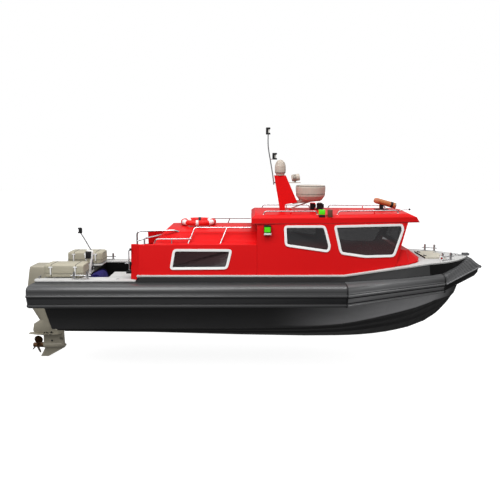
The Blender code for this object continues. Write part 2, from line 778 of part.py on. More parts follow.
def add_cabin():
    cabin = shell("aft_cabin", CABIN_LEVELS, RED, WALL_THICK, WALL_THICK, BULKHEAD_X)
    boolean(cabin, skin("cut_cabin_recess", [wing_ring(0.5), wing_ring(1.9)]))
    passage = box("cut_passage", (0.05, -PASSAGE_HALF, 0.5), (0.3, PASSAGE_HALF, PASSAGE_TOP))
    boolean(cabin, passage)
    door_low = (BULKHEAD_X - 0.1, -DOOR_HALF, 0.5)
    boolean(cabin, box("cut_cabin_door", door_low, (BULKHEAD_X + 0.1, DOOR_HALF, DOOR_TOP)))
    house = shell("wheelhouse", HOUSE_LEVELS, RED, WALL_THICK, -0.01)
    boolean(house, passage)
    owners = {"aft": cabin, "middle": house, "fore": house}
    for side, side_name in ((1, "port"), (-1, "starboard")):
        for key, corners in WINDOWS.items():
            points = SIDE_PLANES[key]
            frame = wall_frame(points, side)
            flat = on_wall(corners, points, side, frame)
            add_window(f"window_{key}_{side_name}", owners[key], flat, frame, WINDOW_RIM)
    add_windscreen(house)
    return cabin, house


def add_windscreen(house):
    """Full-width pane in the forward-raked front wall."""
    foot, head = Vector((front_x(1.106), 0.0, 1.106)), Vector(HOUSE_LEVELS[1][5])
    v = (head - foot).normalized()
    u = Vector((0.0, 1.0, 0.0))
    frame = Matrix.Translation(foot) @ Matrix((u, v, u.cross(v))).transposed().to_4x4()
    outline = [(y, (z - foot.z) / v.z) for y, z in WINDSCREEN]
    add_window("windscreen", house, outline, frame, 0.05)


# Roof levels, port half, from the aft centre line round to the front.
ROOF_LEVELS = (
    ((0.03, 0.0, WALL_TOP + GAP), (0.03, 1.035, WALL_TOP + GAP), (1.60, 0.975, WALL_TOP + GAP),
     (3.44, 0.690, WALL_TOP + GAP), (3.44, 0.0, WALL_TOP + GAP)),
    ((0.03, 0.0, 2.085), (0.03, 1.015, 2.085), (1.60, 0.955, 2.085), (3.385, 0.680, 2.075),
     (3.385, 0.0, 2.075)),
    ((0.10, 0.0, ROOF_CENTRE_Z), (0.10, 0.870, ROOF_EDGE_Z), (1.60, 0.835, ROOF_EDGE_Z),
     (3.20, 0.640, ROOF_EDGE_Z + 0.01), (3.20, 0.0, ROOF_CENTRE_Z)),
)


def roof_height(y):
    return ROOF_CENTRE_Z + (ROOF_EDGE_Z - ROOF_CENTRE_Z) * abs(y) / 0.835


# Low roof rails, port side: first x, y, last x, y, post x.
ROOF_RAILS = ((0.27, 0.80, 1.35, 0.775, 0.82), (1.76, 0.755, 3.02, 0.600, 2.52))
ROOF_RAIL_TOP = 2.205
SINK = 0.006


def roof_rail_pieces(side):
    """Two low rails along one edge of the wheelhouse roof, each with one post."""
    pieces = []
    for x0, y0, x1, y1, post_x in ROOF_RAILS:
        post_y = y0 + (y1 - y0) * (post_x - x0) / (x1 - x0)
        foot0, foot1, foot2 = (roof_height(y) - SINK for y in (y0, y1, post_y))
        run = [
            (x0, y0 * side, foot0), (x0 + 0.03, y0 * side, ROOF_RAIL_TOP),
            (x1 - 0.03, y1 * side, ROOF_RAIL_TOP), (x1, y1 * side, foot1),
        ]
        pieces.append(tube("roof_rail", run, 0.010, None, 0.035))
        post = [(post_x, post_y * side, foot2), (post_x, post_y * side, ROOF_RAIL_TOP)]
        pieces.append(tube("roof_rail_post", post, 0.010))
    return pieces


def athwart(x):
    """Frame of a plate drawn in y and z, standing across the boat at this x."""
    return Matrix(((0, 0, 1, x), (1, 0, 0, 0), (0, 1, 0, 0), (0, 0, 0, 1)))


def add_roof():
    """Roof moulding with its brow, edge rails and the lamps set in its edge."""
    pieces = [skin("roof_slab", [both_sides(level) for level in ROOF_LEVELS])]
    for side in (1, -1):
        pieces += roof_rail_pieces(side)
        lamp = [(0.845 * side, 2.120), (0.955 * side, 2.080), (0.955 * side, 2.245),
                (0.845 * side, 2.245)]
        pieces.append(plate("roof_lamp", lamp, 0.115, athwart(1.4275)))
        pieces.append(plate("roof_box", lamp, 0.085, athwart(1.5900)))
    return joined("wheelhouse_roof", pieces, RED)


# Fore trunk levels, port half: its aft face lies along the front wall.
TRUNK_SEAT = 0.002
FORE_TRUNK_LEVELS = (
    ((front_x(1.05) + TRUNK_SEAT, 0.0, 1.05), (front_x(1.05) + TRUNK_SEAT, 0.985, 1.05),
     (3.20, 0.915, 1.05), (3.42, 0.760, 1.05), (3.475, 0.590, 1.05), (3.475, 0.0, 1.05)),
    ((front_x(1.15) + TRUNK_SEAT, 0.0, 1.15), (front_x(1.15) + TRUNK_SEAT, 0.960, 1.15),
     (3.20, 0.900, 1.16), (3.42, 0.760, 1.190), (3.475, 0.590, 1.240), (3.475, 0.0, 1.240)),
    ((front_x(1.43) + TRUNK_SEAT, 0.0, 1.430), (front_x(1.43) + TRUNK_SEAT, 0.820, 1.430),
     (3.16, 0.740, 1.415), (3.25, 0.600, 1.400), (3.275, 0.480, 1.395), (3.275, 0.0, 1.395)),
)


def add_fore_trunk():
    """Red trunk ahead of the windscreen, cut to lie on the foredeck."""
    trunk = skin("fore_trunk", [both_sides(level) for level in FORE_TRUNK_LEVELS], RED)
    return boolean(trunk, under_house())


def hinge_empty(name, location):
    empty = bpy.data.objects.new(name, None)
    empty.location = location
    bpy.data.collections["passenger_boat"].objects.link(empty)
    bpy.context.view_layer.update()
    return empty


def hang(obj, empty):
    obj.parent = empty
    obj.matrix_parent_inverse = empty.matrix_world.inverted()
    return obj


def add_door():
    """Cabin door in the aft bulkhead, hinged on its port edge."""
    face = BULKHEAD_X - GAP
    hinge = hinge_empty("aft_door_hinge", (face - DOOR_THICK, DOOR_HALF + 0.03, 0.9))
    leaf = box(
        "aft_door_leaf",
        (face - DOOR_THICK, -DOOR_HALF - 0.02, DOOR_FOOT - 0.02),
        (face, DOOR_HALF + 0.015, DOOR_TOP + 0.02),
    )
    knuckles = cylinder(
        "door_knuckle",
        (face - DOOR_THICK, DOOR_HALF + 0.03, 0.45),
        (face - DOOR_THICK, DOOR_HALF + 0.03, 1.42),
        0.012,
        segments=12,
    )
    strap = box(
        "door_strap",
        (face - DOOR_THICK - 0.006, DOOR_HALF - 0.05, 0.46),
        (face - DOOR_THICK + 0.004, DOOR_HALF + 0.03, 1.41),
    )
    grab = tube(
        "door_grab",
        [
            (face - DOOR_THICK + 0.01, -0.24, 1.10),
            (face - DOOR_THICK - 0.05, -0.24, 1.10),
            (face - DOOR_THICK - 0.05, -0.24, 1.36),
            (face - DOOR_THICK + 0.01, -0.24, 1.36),
        ],
        0.011,
    )
    door = joined("aft_door", [leaf, knuckles, strap, grab], RED)
    hang(door, hinge)


def add_fore_hatch():
    top = FORE_DECK_TOP + GAP
    hinge = hinge_empty("fore_hatch_hinge", (4.105, 0.0, top + 0.014))
    lid = box("hatch_lid", (3.66, -0.42, top), (4.095, 0.42, top + 0.03))
    pin = cylinder(
        "hatch_pin", (4.105, -0.30, top + 0.014), (4.105, 0.30, top + 0.014), 0.0135, segments=12
    )
    hatch = joined("fore_hatch", [lid, pin], DECK_GREY)
    hang(hatch, hinge)


def add_cockpit():
    locker = box(
        "cockpit_locker",
        (-2.85, -COCKPIT_HALF + GAP, COCKPIT_SOLE + GAP),
        (BULKHEAD_X - 2 * GAP, -0.36, AFT_DECK_TOP - DECK_THICK),
        DECK_GREY,
    )
    hinge = hinge_empty("locker_lid_hinge", (-2.40, -0.900, AFT_DECK_TOP - 0.010))
    lid = box(
        "locker_lid",
        (-2.85, -0.890, AFT_DECK_TOP - DECK_THICK + GAP),
        (BULKHEAD_X - 0.012, -0.355, AFT_DECK_TOP),
        DECK_GREY,
    )
    hang(lid, hinge)
    boolean(locker, box("cut_locker", (-2.825, -0.90, 0.36), (BULKHEAD_X - 0.04, -0.39, 1.0)))
    aft = COCKPIT_AFT_X + 2 * GAP
    sole = COCKPIT_SOLE + GAP
    outline = [(aft, sole), (-3.00, sole), (-3.00, 0.83), (-3.05, 0.93), (-3.12, 0.95),
               (aft, 0.86)]
    cushion = plate("cockpit_seat", rounded_outline(outline, 0.03, 2), 0.62, upright(-0.60), BLUE)
    return locker, lid, cushion


def add_raft(name, side):
    """Life raft canister in its cradle on the aft deck."""
    base = AFT_DECK_TOP + GAP
    half = 0.39
    corner = 0.05
    rings = []
    for x, drop, narrow in ((-half, 0.03, 0.03), (-half + corner, 0.0, 0.0),
                            (half - corner, 0.0, 0.0), (half, 0.03, 0.03)):
        centre = Vector((-3.72 + x, 0.80 * side, base + 0.140))
        wide, tall = 0.24 - narrow, 0.128 - drop / 2
        ring = rounded_outline(
            [(-wide, -tall), (wide, -tall), (wide, tall), (-wide, tall)], 0.045, 3
        )
        rings.append([centre + Vector((0.0, u, v)) for u, v in ring])
    body = skin(name + "_body", rings)
    feet = [
        box(
            f"{name}_foot{n}",
            (x - 0.03, 0.80 * side - 0.20, base),
            (x + 0.03, 0.80 * side + 0.20, base + 0.06),
        )
        for n, x in enumerate((-3.97, -3.47))
    ]
    return joined(name, [body] + feet, RAFT)


def add_bollard(name, x, y, deck_top, gap, turn=0.0):
    """Twin-post bollard with a cross bar; the gap is from its middle to each post."""
    base = deck_top + GAP
    frame = Matrix.Translation((x, y, 0.0)) @ Matrix.Rotation(turn, 4, "Z")
    half = gap + 0.037
    pieces = [box(name + "_base", (-half, -0.035, base), (half, 0.035, base + 0.008))]
    for n, place in enumerate((-gap, gap)):
        pieces.append(
            cylinder(f"{name}_post{n}", (place, 0, base + 0.002), (place, 0, base + 0.15), 0.022,
                     segments=16)
        )
    pieces.append(
        cylinder(name + "_bar", (-gap - 0.07, 0, base + 0.075), (gap + 0.07, 0, base + 0.075),
                 0.012, segments=12)
    )
    bollard = joined(name, pieces, STEEL)
    bollard.matrix_world = frame
    return bollard


def add_stern_light():
    """Hooked post of the stern light with its two side stays."""
    y = -0.40
    deck = AFT_DECK_TOP - DECK_THICK + GAP
    post = [(-3.375, y, deck + 0.004), (-3.290, y, 1.335), (-3.41, y, 1.345)]
    pole = [(-3.30, y, 1.32), (-3.45, y, 1.60), (-3.52, y, 1.72)]
    pieces = [
        box("post_foot", (-3.415, y - 0.07, deck), (-3.335, y + 0.07, deck + 0.008)),
        box("stay_foot", (-3.415, -0.26, deck), (-3.335, -0.07, deck + 0.008)),
        tube("post_tube", post, 0.021, None, 0.04),
        tube("pole_tube", pole, 0.009, None, 0.04),
        tube("stay_one", [(-3.355, -0.11, deck + 0.0068), (-3.305, y, 1.29)], 0.010),
        tube("stay_two", [(-3.380, -0.21, deck + 0.0068), (-3.305, y, 1.27)], 0.010),
        box("post_block", (-3.378, y + 0.008, 1.08), (-3.318, y + 0.09, 1.27)),
        cylinder("stern_lamp", (-3.535, y, 1.715), (-3.535, y, 1.83), 0.042),
    ]
    return joined("stern_light", pieces, STEEL)


def add_hoop_rail(cabin_outside):
    """Boarding hoop from the starboard wing wall up to the trunk, with its stay."""
    y = -1.044
    hoop = [(-2.229, y, 1.56), (-2.229, y, 1.835), (-1.50, -0.83, 1.825),
            (-1.43, -0.79, 1.79)]
    post = [(-2.085, -1.065, 1.56), (-2.085, -1.044, 1.69)]
    stay = [(-2.229, y, 1.645), (-2.085, y, 1.690), (-1.80, -0.52, 1.70)]
    hoop_rail = rail("hoop_rail", [hoop, post, stay], 0.017, STEEL, 0.07)
    boolean(hoop_rail, cabin_outside)


def add_trunk_rails(side, side_name, cabin_outside):
    """Grab rail and roof rail on one side of the aft cabin, seated on its skin."""
    y_ledge, y_top = 1.04 * side, 0.89 * side
    ledge = 1.57
    top = [(-1.232, y_ledge, ledge), (-1.10, y_top, 1.89), (0.02, y_top, 1.89)]
    post = [(-0.595, y_ledge, ledge), (-0.46, y_top, 1.885)]
    grab = [(-1.90, y_ledge, ledge), (-1.86, y_ledge, 1.68), (-1.165, y_ledge - 0.03 * side, 1.68)]
    grab_post = [(-1.55, y_ledge, ledge), (-1.55, y_ledge - 0.012 * side, 1.68)]
    trunk_rail = rail(f"trunk_rail_{side_name}", [top, post, grab, grab_post], 0.0115, STEEL, 0.04)
    boolean(trunk_rail, cabin_outside)


RADAR_SHELF_TOP = 2.372


def add_mast():
    outline = [(0.634, ROOF_CENTRE_Z + GAP), (0.512, 2.895), (0.755, 2.895), (1.005, 2.33),
               (0.745, 2.285), (0.745, ROOF_CENTRE_Z + GAP)]
    fin = plate("mast_fin", outline, 0.13, upright(0.0))
    mast = joined("mast", [fin] + radar_shelf_pieces() + flood_pieces(), RED)
    base = 2.895 + GAP
    dome = [(0.0, 0.0), (0.085, 0.0), (0.092, 0.03), (0.112, 0.06), (0.116, 0.12),
            (0.112, 0.20), (0.092, 0.27), (0.055, 0.315), (0.0, 0.33)]
    turned("satellite_dome", dome, (0.640, 0.0, base), DOME)
    profile = [(0.0, 0.0), (0.235, 0.0), (0.250, 0.02), (0.302, 0.09), (0.308, 0.12),
               (0.315, 0.27), (0.308, 0.300), (0.285, 0.315), (0.0, 0.322)]
    turned("radar", profile, (1.285, 0.0, RADAR_SHELF_TOP + GAP), DOME, 32)
    return mast


def radar_shelf_pieces():
    """Shelf, arm and leg that carry the radar ahead of the mast."""
    top = RADAR_SHELF_TOP
    outline = [(0.90, 2.29), (1.40, 2.35), (1.40, top), (0.95, top)]
    return [
        plate("radar_arm", outline, 0.10, upright(0.0)),
        box("radar_shelf", (1.06, -0.16, top - 0.012), (1.48, 0.16, top)),
        tube("radar_leg", [(1.28, 0.0, 2.345), (0.86, 0.0, ROOF_CENTRE_Z + 0.020)], 0.014),
        box("leg_foot", (0.83, -0.03, ROOF_CENTRE_Z + GAP), (0.89, 0.03, ROOF_CENTRE_Z + 0.022)),
    ]


def flood_pieces():
    """Floodlight on its small shelf high on the mast's front edge."""
    return [
        box("flood_shelf", (0.79, -0.035, 2.735), (1.07, 0.035, 2.750)),
        cylinder("flood_stem", (0.955, 0.0, 2.745), (0.955, 0.0, 2.80), 0.02),
        cylinder("flood_head", (0.885, 0.0, 2.835), (1.040, 0.0, 2.860), 0.070),
    ]


def add_mast_lamps():
    """Lamp pole clipped to the mast's aft edge, with its two lamps."""
    pole = [(0.505, 0.0, 2.70), (0.480, 0.0, 2.92), (0.378, 0.0, 3.50), (0.380, 0.0, 3.76)]
    pieces = [
        tube("pole", pole, 0.012, None, 0.2),
        cylinder("top_lamp", (0.380, 0.0, 3.745), (0.380, 0.0, 3.89), 0.047),
        cylinder("low_lamp", (0.520, 0.0, 3.225), (0.520, 0.0, 3.365), 0.050),
        tube("low_arm", [(0.42, 0.0, 3.235), (0.52, 0.0, 3.235)], 0.009),
        box("pole_clip", (0.49, -0.02, 2.73), (0.5345, 0.02, 2.76)),
    ]
    joined("masthead_lights", pieces, STEEL)


def add_roof_gear():
    """Horns, searchlight and sidelights."""
    base = ROOF_CENTRE_Z + GAP
    pieces = [
        box("horn_base", (1.27, -0.03, base), (1.56, 0.03, base + 0.012)),
        box("horn_small", (1.285, -0.045, base + 0.008), (1.375, 0.045, base + 0.13)),
        box("horn_large", (1.425, -0.060, base + 0.008), (1.545, 0.060, base + 0.13)),
    ]
    joined("horns", pieces, BLACK)
    tail, nose = Vector((2.68, 0.0, 2.365)), Vector((3.10, 0.0, 2.250))
    bracket = [
        box("light_foot", (2.66, -0.07, base), (2.94, 0.07, base + 0.014)),
        box("light_stem", (2.76, -0.03, base + 0.010), (2.84, 0.03, 2.325)),
        cylinder("light_body", tail, nose, 0.060, segments=28),
        cylinder("light_back", tail - (nose - tail).normalized() * 0.04, tail + (nose - tail) * 0.05,
                 0.036, end_radius=0.0602, segments=28),
    ]
    joined("searchlight", bracket, LAMP_BROWN)
    for side, side_name, lens in ((1, "port", LENS_RED), (-1, "starboard", GREEN)):
        low, high = 1.775, 1.945
        seat = 0.0006
        reach = 0.075
        outline = [(wall_y(low) + seat, low), (wall_y(low) + reach, low),
                   (wall_y(low) + reach, high), (wall_y(high) + seat, high)]
        outline = [(y * side, z) for y, z in outline]
        plate(f"sidelight_{side_name}", outline, 0.125, athwart(0.345), lens)


def wall_y(z):
    """Half width of the cabin's side wall at this height."""
    return plane_y(SIDE_PLANES["aft"], 0.345, z)


def add_life_ring():
    bm = bmesh.new()
    bmesh.ops.create_circle(bm, segments=12, radius=0.056)
    bm.transform(Matrix.Translation((0.322, 0.0, 0.0)) @ Matrix.Rotation(math.radians(90), 4, "X"))
    bmesh.ops.spin(
        bm,
        geom=bm.edges[:] + bm.verts[:],
        cent=(0, 0, 0),
        axis=(0, 0, 1),
        angle=math.tau,
        steps=36,
        use_duplicate=False,
    )
    bmesh.ops.remove_doubles(bm, verts=bm.verts, dist=1e-5)
    ring = from_bmesh("life_ring", bm, RED)
    ring.location = (-1.10, 0.0, TRUNK_CENTRE_Z + 0.056 + 2 * GAP)
    return ring


def add_bow_roller():
    base = FORE_DECK_TOP + GAP
    pieces = [
        box("roller_base", (4.48, -0.045, base), (4.66, 0.045, base + 0.012)),
        box("roller_cheek1", (4.58, -0.045, base + 0.006), (4.72, -0.033, base + 0.055)),
        box("roller_cheek2", (4.58, 0.033, base + 0.006), (4.72, 0.045, base + 0.055)),
        cylinder("roller", (4.68, -0.040, base + 0.028), (4.68, 0.040, base + 0.028), 0.018),
    ]
    joined("bow_roller", pieces, STEEL)


def add_clamp_bracket():
    """Fixed engine bracket over the transom sill, with the tilt tube."""
    face = transom_x(SILL_TOP) - 0.0008
    foot_z = 0.0
    foot = transom_x(foot_z) - 0.0008
    sill = SILL_TOP + GAP
    outline = [(-3.990, sill), (-3.990, 0.275), (-4.10, 0.340), (-4.20, 0.340), (-4.20, 0.26),
               (foot - 0.10, foot_z), (foot, foot_z), (face, sill)]
    pieces = [plate(f"clamp_{n}", outline, 0.03, upright(y)) for n, y in enumerate((-0.125, 0.125))]
    pieces.append(cylinder("tilt_tube", TILT_AXIS - Vector((0, 0.155, 0)),
                           TILT_AXIS + Vector((0, 0.155, 0)), 0.018))
    pieces.append(
        plate(
            "clamp_cross",
            [(foot - 0.006, foot_z + 0.01), (foot - 0.03, foot_z + 0.01), (foot - 0.045, 0.07),
             (transom_x(0.07) - 0.004, 0.07)],
            0.26,
            upright(0.0),
        )
    )
    return joined("clamp_bracket", pieces, BEIGE)


def add_swivel_bracket(tilt):
    """Tilting bracket that carries the steering tube."""
    pieces = [
        plate(
            "swivel_web",
            [(-4.115, 0.345), (-4.115, 0.26), (-4.27, 0.06), (-4.33, 0.06), (-4.33, 0.36),
             (-4.20, 0.36)],
            0.19,
            upright(0.0),
        ),
        cylinder("swivel_tube", (STEER_X, 0, 0.02), (STEER_X, 0, 0.385), 0.045),
    ]
    bracket = joined("swivel_bracket", pieces, BEIGE)
    boolean(
        bracket,
        cylinder("cut_tilt_tube", TILT_AXIS - Vector((0, 0.3, 0)), TILT_AXIS + Vector((0, 0.3, 0)),
                 0.0183),
    )
    boolean(
        bracket,
        cylinder("cut_steer_pin", (STEER_X, 0, -0.1), (STEER_X, 0, 0.6), 0.0203),
    )
    hang(bracket, tilt)


# Engine leg levels: height, aft x, fore x, half width.
LEG_LEVELS = (
    (0.405, -4.70, -4.375, 0.120),
    (0.040, -4.77, -4.375, 0.110),
    (-0.250, -4.61, -4.375, 0.075),
    (-0.335, -4.74, -4.330, 0.085),
    (-0.490, -4.77, -4.280, 0.080),
    (-0.560, -4.72, -4.200, 0.060),
)
STRUT_LEVELS = (
    (-0.470, -4.55, -4.092, 0.040),
    (-0.790, -4.55, -4.085, 0.045),
)
TORPEDO = ((-4.555, 0.062), (-4.500, 0.070), (-4.200, 0.070), (-4.110, 0.050), (-4.062, 0.018))
SKEG_OUTLINE = ((-4.12, -0.82), (-4.085, -0.87), (-4.46, -1.08), (-4.63, -1.08), (-4.545, -0.92),
                (-4.50, -0.82))


def round_bar(name, stations, z, segments=24):
    """A round body along X, from its (x, radius) stations."""
    rings = []
    for x, radius in stations:
        turn = [math.tau * n / segments for n in range(segments)]
        rings.append([Vector((x, radius * math.cos(a), z + radius * math.sin(a))) for a in turn])
    return skin(name, rings)


def foil_ring(z, aft, fore, half):
    """Plan section of the leg: blunt nose, tapered tail."""
    length = fore - aft
    shape = ((1.0, 0.0), (0.97, 0.45), (0.85, 0.85), (0.60, 1.0), (0.30, 0.85), (0.0, 0.30))
    return both_sides([(aft + length * along, half * wide, z) for along, wide in shape])


def add_leg(steer):
    """Middle section, gearcase, plate and skeg of the engine."""
    pieces = [
        skin("leg_mid", [foil_ring(*row) for row in LEG_LEVELS]),
        skin("leg_strut", [foil_ring(*row) for row in STRUT_LEVELS]),
        cylinder("yoke_pin", (STEER_X, 0, -0.06), (STEER_X, 0, 0.415), 0.020),
        box("yoke_low", (-4.46, -0.06, -0.07), (-4.255, 0.06, 0.012)),
        box("yoke_high", (-4.46, -0.07, 0.392), (-4.255, 0.07, 0.430)),
        skin("vent_plate", [foil_ring(z, -4.86, -4.13, 0.14) for z in (-0.562, -0.546)]),
        round_bar("torpedo", TORPEDO, PROP_CENTRE.z),
        plate("skeg", [Vector(p) for p in SKEG_OUTLINE], 0.022, upright(0.0)),
    ]
    hang(joined("outboard_leg", pieces, BEIGE), steer)


# Engine cowl levels: height, aft x, fore x, half width.
COWL_LEVELS = (
    (0.4053, -4.775, -4.400, 0.215),
    (0.450, -4.772, -4.300, 0.245),
    (0.480, -4.768, -4.080, 0.255),
    (0.540, -4.762, -4.055, 0.262),
    (0.800, -4.720, -4.060, 0.262),
    (0.915, -4.702, -4.070, 0.258),
    (0.965, -4.690, -4.085, 0.250),
    (0.985, -4.662, -4.115, 0.222),
)
COWL_CORNER = 0.05


def cowl_ring(z, aft, fore, half):
    """Plan section of the cowl: a rectangle with chamfered corners."""
    cut = min(COWL_CORNER, half * 0.6)
    near = cut * 0.3
    return both_sides([
        (aft, 0.0, z), (aft, half - cut, z), (aft + near, half - near, z), (aft + cut, half, z),
        (fore - cut, half, z), (fore - near, half - near, z), (fore, half - cut, z),
        (fore, 0.0, z),
    ])


def add_cowl(steer):
    cowl = skin("outboard_cowl", [cowl_ring(*row) for row in COWL_LEVELS], BEIGE)
    boolean(cowl, box("cut_cowl_foot", (-4.47, -0.08, 0.3), (-4.24, 0.08, 0.4475)))
    hang(cowl, steer)


# Propeller blade outline: along the chord, out from the axis.
BLADE_OUTLINE = ((-0.045, 0.030), (-0.100, 0.085), (-0.105, 0.150), (-0.050, 0.198),
                 (0.040, 0.205), (0.105, 0.155), (0.100, 0.085), (0.045, 0.030))
BLADE_START = -0.61
BLADE_PITCH = 50.0


def add_propeller(steer):
    empty = hinge_empty("propeller_axis", PROP_CENTRE)
    hang(empty, steer)
    centre = PROP_CENTRE
    pieces = [
        cylinder("prop_hub", (TORPEDO[0][0] - GAP, 0, centre.z), (centre.x - 0.09, 0, centre.z),
                 0.058, end_radius=0.048, segments=24),
    ]
    for n in range(3):
        frame = (
            Matrix.Translation(centre)
            @ Matrix.Rotation(math.tau * n / 3 + BLADE_START, 4, "X")
            @ Matrix.Rotation(math.radians(BLADE_PITCH), 4, "Z")
            @ Matrix.Rotation(math.radians(90), 4, "X")
        )
        outline = rounded_outline(BLADE_OUTLINE, 0.03, 2)
        pieces.append(plate(f"blade{n}", outline, 0.012, frame))
    hang(joined("propeller", pieces, BRONZE), empty)


def add_engine():
    tilt = hinge_empty("outboard_tilt_axis", TILT_AXIS)
    steer = hinge_empty("outboard_steer_axis", (STEER_X, 0.0, 0.2))
    hang(steer, tilt)
    add_clamp_bracket()
    add_swivel_bracket(tilt)
    add_leg(steer)
    add_cowl(steer)
    add_propeller(steer)


def add_helm():
    """Helm console and two seats on one plinth."""
    low = CABIN_SOLE + GAP
    outline = [(2.35, low), (2.35, 1.12), (2.44, 1.26), (2.66, 1.32), (2.66, low)]
    pieces = [
        plate("console", outline, 1.30, upright(0.0)),
        box("plinth", (1.70, -0.60, low), (2.40, 0.60, low + 0.05)),
    ]
    for side in (1, -1):
        y = 0.45 * side
        pieces += [
            box("seat_post", (1.86, y - 0.06, low + 0.02), (1.98, y + 0.06, 0.80)),
            box("seat_pad", (1.70, y - 0.22, 0.78), (2.14, y + 0.22, 0.90)),
            box("seat_back", (1.64, y - 0.21, 0.84), (1.74, y + 0.21, 1.50)),
        ]
    return joined("helm_and_seats", pieces, SEAT_GREY)


def main():
    clear_scene()
    new_collection("passenger_boat")
    new_collection("cutters", hidden=True)
    add_hull()
    add_side_deck()
    add_collar()
    add_cabin()
    add_roof()
    add_fore_trunk()
    add_door()
    add_fore_hatch()
    add_cockpit()
    cabin_outside = skin("cut_cabin_outside", [both_sides(level) for level in CABIN_LEVELS])
    displace(cabin_outside, 1.5 * GAP)
    for side, side_name in ((1, "port"), (-1, "starboard")):
        add_aft_deck(side, side_name)
        add_raft(f"life_raft_{side_name}", side)
        add_bollard(f"bollard_aft_{side_name}", -3.35, 1.14 * side, AFT_DECK_TOP, 0.134)
        add_bollard(
            f"bollard_fore_{side_name}", 4.05, 0.60 * side, FORE_DECK_TOP, 0.102, -0.36 * side
        )
        add_trunk_rails(side, side_name, cabin_outside)
    add_hoop_rail(cabin_outside)
    add_stern_light()
    add_mast()
    add_mast_lamps()
    add_roof_gear()
    add_life_ring()
    add_bow_roller()
    add_helm()
    add_engine()


main()
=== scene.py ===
"""Looks of a cabin passenger boat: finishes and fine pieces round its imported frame.

Metres, in the frame's own axes: +X forward, +Y to port, +Z up, z = 0 at the waterline.
"""

import json
import logging
import math
from dataclasses import dataclass
from enum import Enum
from typing import Callable, Iterable, Sequence

import bmesh
import bpy
from mathutils import Matrix, Vector

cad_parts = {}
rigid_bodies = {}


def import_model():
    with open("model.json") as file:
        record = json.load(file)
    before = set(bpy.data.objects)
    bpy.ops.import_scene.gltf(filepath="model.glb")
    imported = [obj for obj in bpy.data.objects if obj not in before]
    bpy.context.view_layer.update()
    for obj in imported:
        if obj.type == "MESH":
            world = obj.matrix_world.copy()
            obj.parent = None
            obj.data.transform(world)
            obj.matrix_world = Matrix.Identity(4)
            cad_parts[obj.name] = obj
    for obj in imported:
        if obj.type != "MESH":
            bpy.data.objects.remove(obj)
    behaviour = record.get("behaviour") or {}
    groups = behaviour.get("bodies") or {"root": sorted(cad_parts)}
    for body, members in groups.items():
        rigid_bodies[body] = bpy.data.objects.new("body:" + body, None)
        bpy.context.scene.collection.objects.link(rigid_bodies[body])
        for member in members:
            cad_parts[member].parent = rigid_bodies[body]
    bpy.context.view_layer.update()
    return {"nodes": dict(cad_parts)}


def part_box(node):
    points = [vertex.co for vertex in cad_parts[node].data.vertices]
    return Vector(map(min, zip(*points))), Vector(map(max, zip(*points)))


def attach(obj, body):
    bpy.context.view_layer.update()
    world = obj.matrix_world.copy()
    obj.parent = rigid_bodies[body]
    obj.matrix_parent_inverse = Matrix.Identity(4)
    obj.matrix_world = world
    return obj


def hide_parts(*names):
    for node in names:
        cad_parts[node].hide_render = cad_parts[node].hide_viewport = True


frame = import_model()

LOG = logging.getLogger("passenger_boat")
SINK = 0.003
MERGE_DISTANCE = 1e-5
CUT_DISTANCE = 1e-6
SHARP_EDGE = 0.5
FLAT_DEGREES = 0.4
BEVEL_DEGREES = 32.0
BEVEL_SEGMENTS = 2
SMOOTH_DEGREES = 35.0
LAMP_FOOT = ((0.0, 0.0), (1.0, 0.0), (1.0, 0.2), (0.8, 0.24), (0.0, 0.24))
LAMP_CAP = ((0.0, 0.74), (0.8, 0.74), (1.0, 0.80), (1.0, 0.94), (0.85, 1.0), (0.0, 1.0))
LAMP_LENS = ((0.0, 0.2), (0.6, 0.2), (0.6, 0.78), (0.0, 0.78))
SIDES = ((1, "port"), (-1, "starboard"))

Colour = tuple[float, float, float]
Span = tuple[float, float]
Point = Sequence[float]
FaceTest = Callable[[bmesh.types.BMFace], bool]


class Body(Enum):
    """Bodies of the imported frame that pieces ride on."""

    BOAT = "boat"
    DOOR = "aft_door"
    HATCH = "fore_hatch"
    LID = "locker_lid"
    BRACKET = "engine_bracket"
    ENGINE = "engine"
    PROPELLER = "propeller"


class Slot(Enum):
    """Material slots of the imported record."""

    RED = "red_gelcoat"
    COLLAR = "collar_grey"
    DECK = "deck_grey"
    GLASS = "window_glass"
    STEEL = "polished_steel"
    ENGINE = "engine_beige"
    RAFT = "raft_beige"
    DOME = "dome_beige"
    BLACK = "black_plastic"
    BLUE = "blue_fabric"
    BROWN = "searchlight_brown"
    BRONZE = "dark_bronze"
    SEAT = "seat_grey"


class Signal:
    """A shader socket used in arithmetic: each operation adds one Math node."""

    def __init__(self, sheet: "NodeSheet", socket: bpy.types.NodeSocket) -> None:
        """Keep the socket and the sheet that it is drawn on."""
        self.sheet = sheet
        self.socket = socket

    def _math(self, operation: str, first: object, second: object = 0.0) -> "Signal":
        """Join two values by one Math node."""
        return self.sheet.node("ShaderNodeMath", {"operation": operation}, {0: first, 1: second})

    def __add__(self, other: object) -> "Signal":
        """Sum."""
        return self._math("ADD", self, other)

    def __sub__(self, other: object) -> "Signal":
        """Difference."""
        return self._math("SUBTRACT", self, other)

    def __rsub__(self, other: object) -> "Signal":
        """Difference, with the number first."""
        return self._math("SUBTRACT", other, self)

    def __mul__(self, other: object) -> "Signal":
        """Product."""
        return self._math("MULTIPLY", self, other)

    def wave(self) -> "Signal":
        """Sine."""
        return self._math("SINE", self)

    def between(self, low: float, high: float) -> "Signal":
        """Rise smoothly from 0 at low to 1 at high.

        Args:
            low: Value where the rise starts.
            high: Value where it ends.

        Returns:
            The eased share, from 0 to 1.
        """
        settings = {"interpolation_type": "SMOOTHSTEP"}
        inputs = {"Value": self, "From Min": low, "From Max": high}
        return self.sheet.node("ShaderNodeMapRange", settings, inputs)


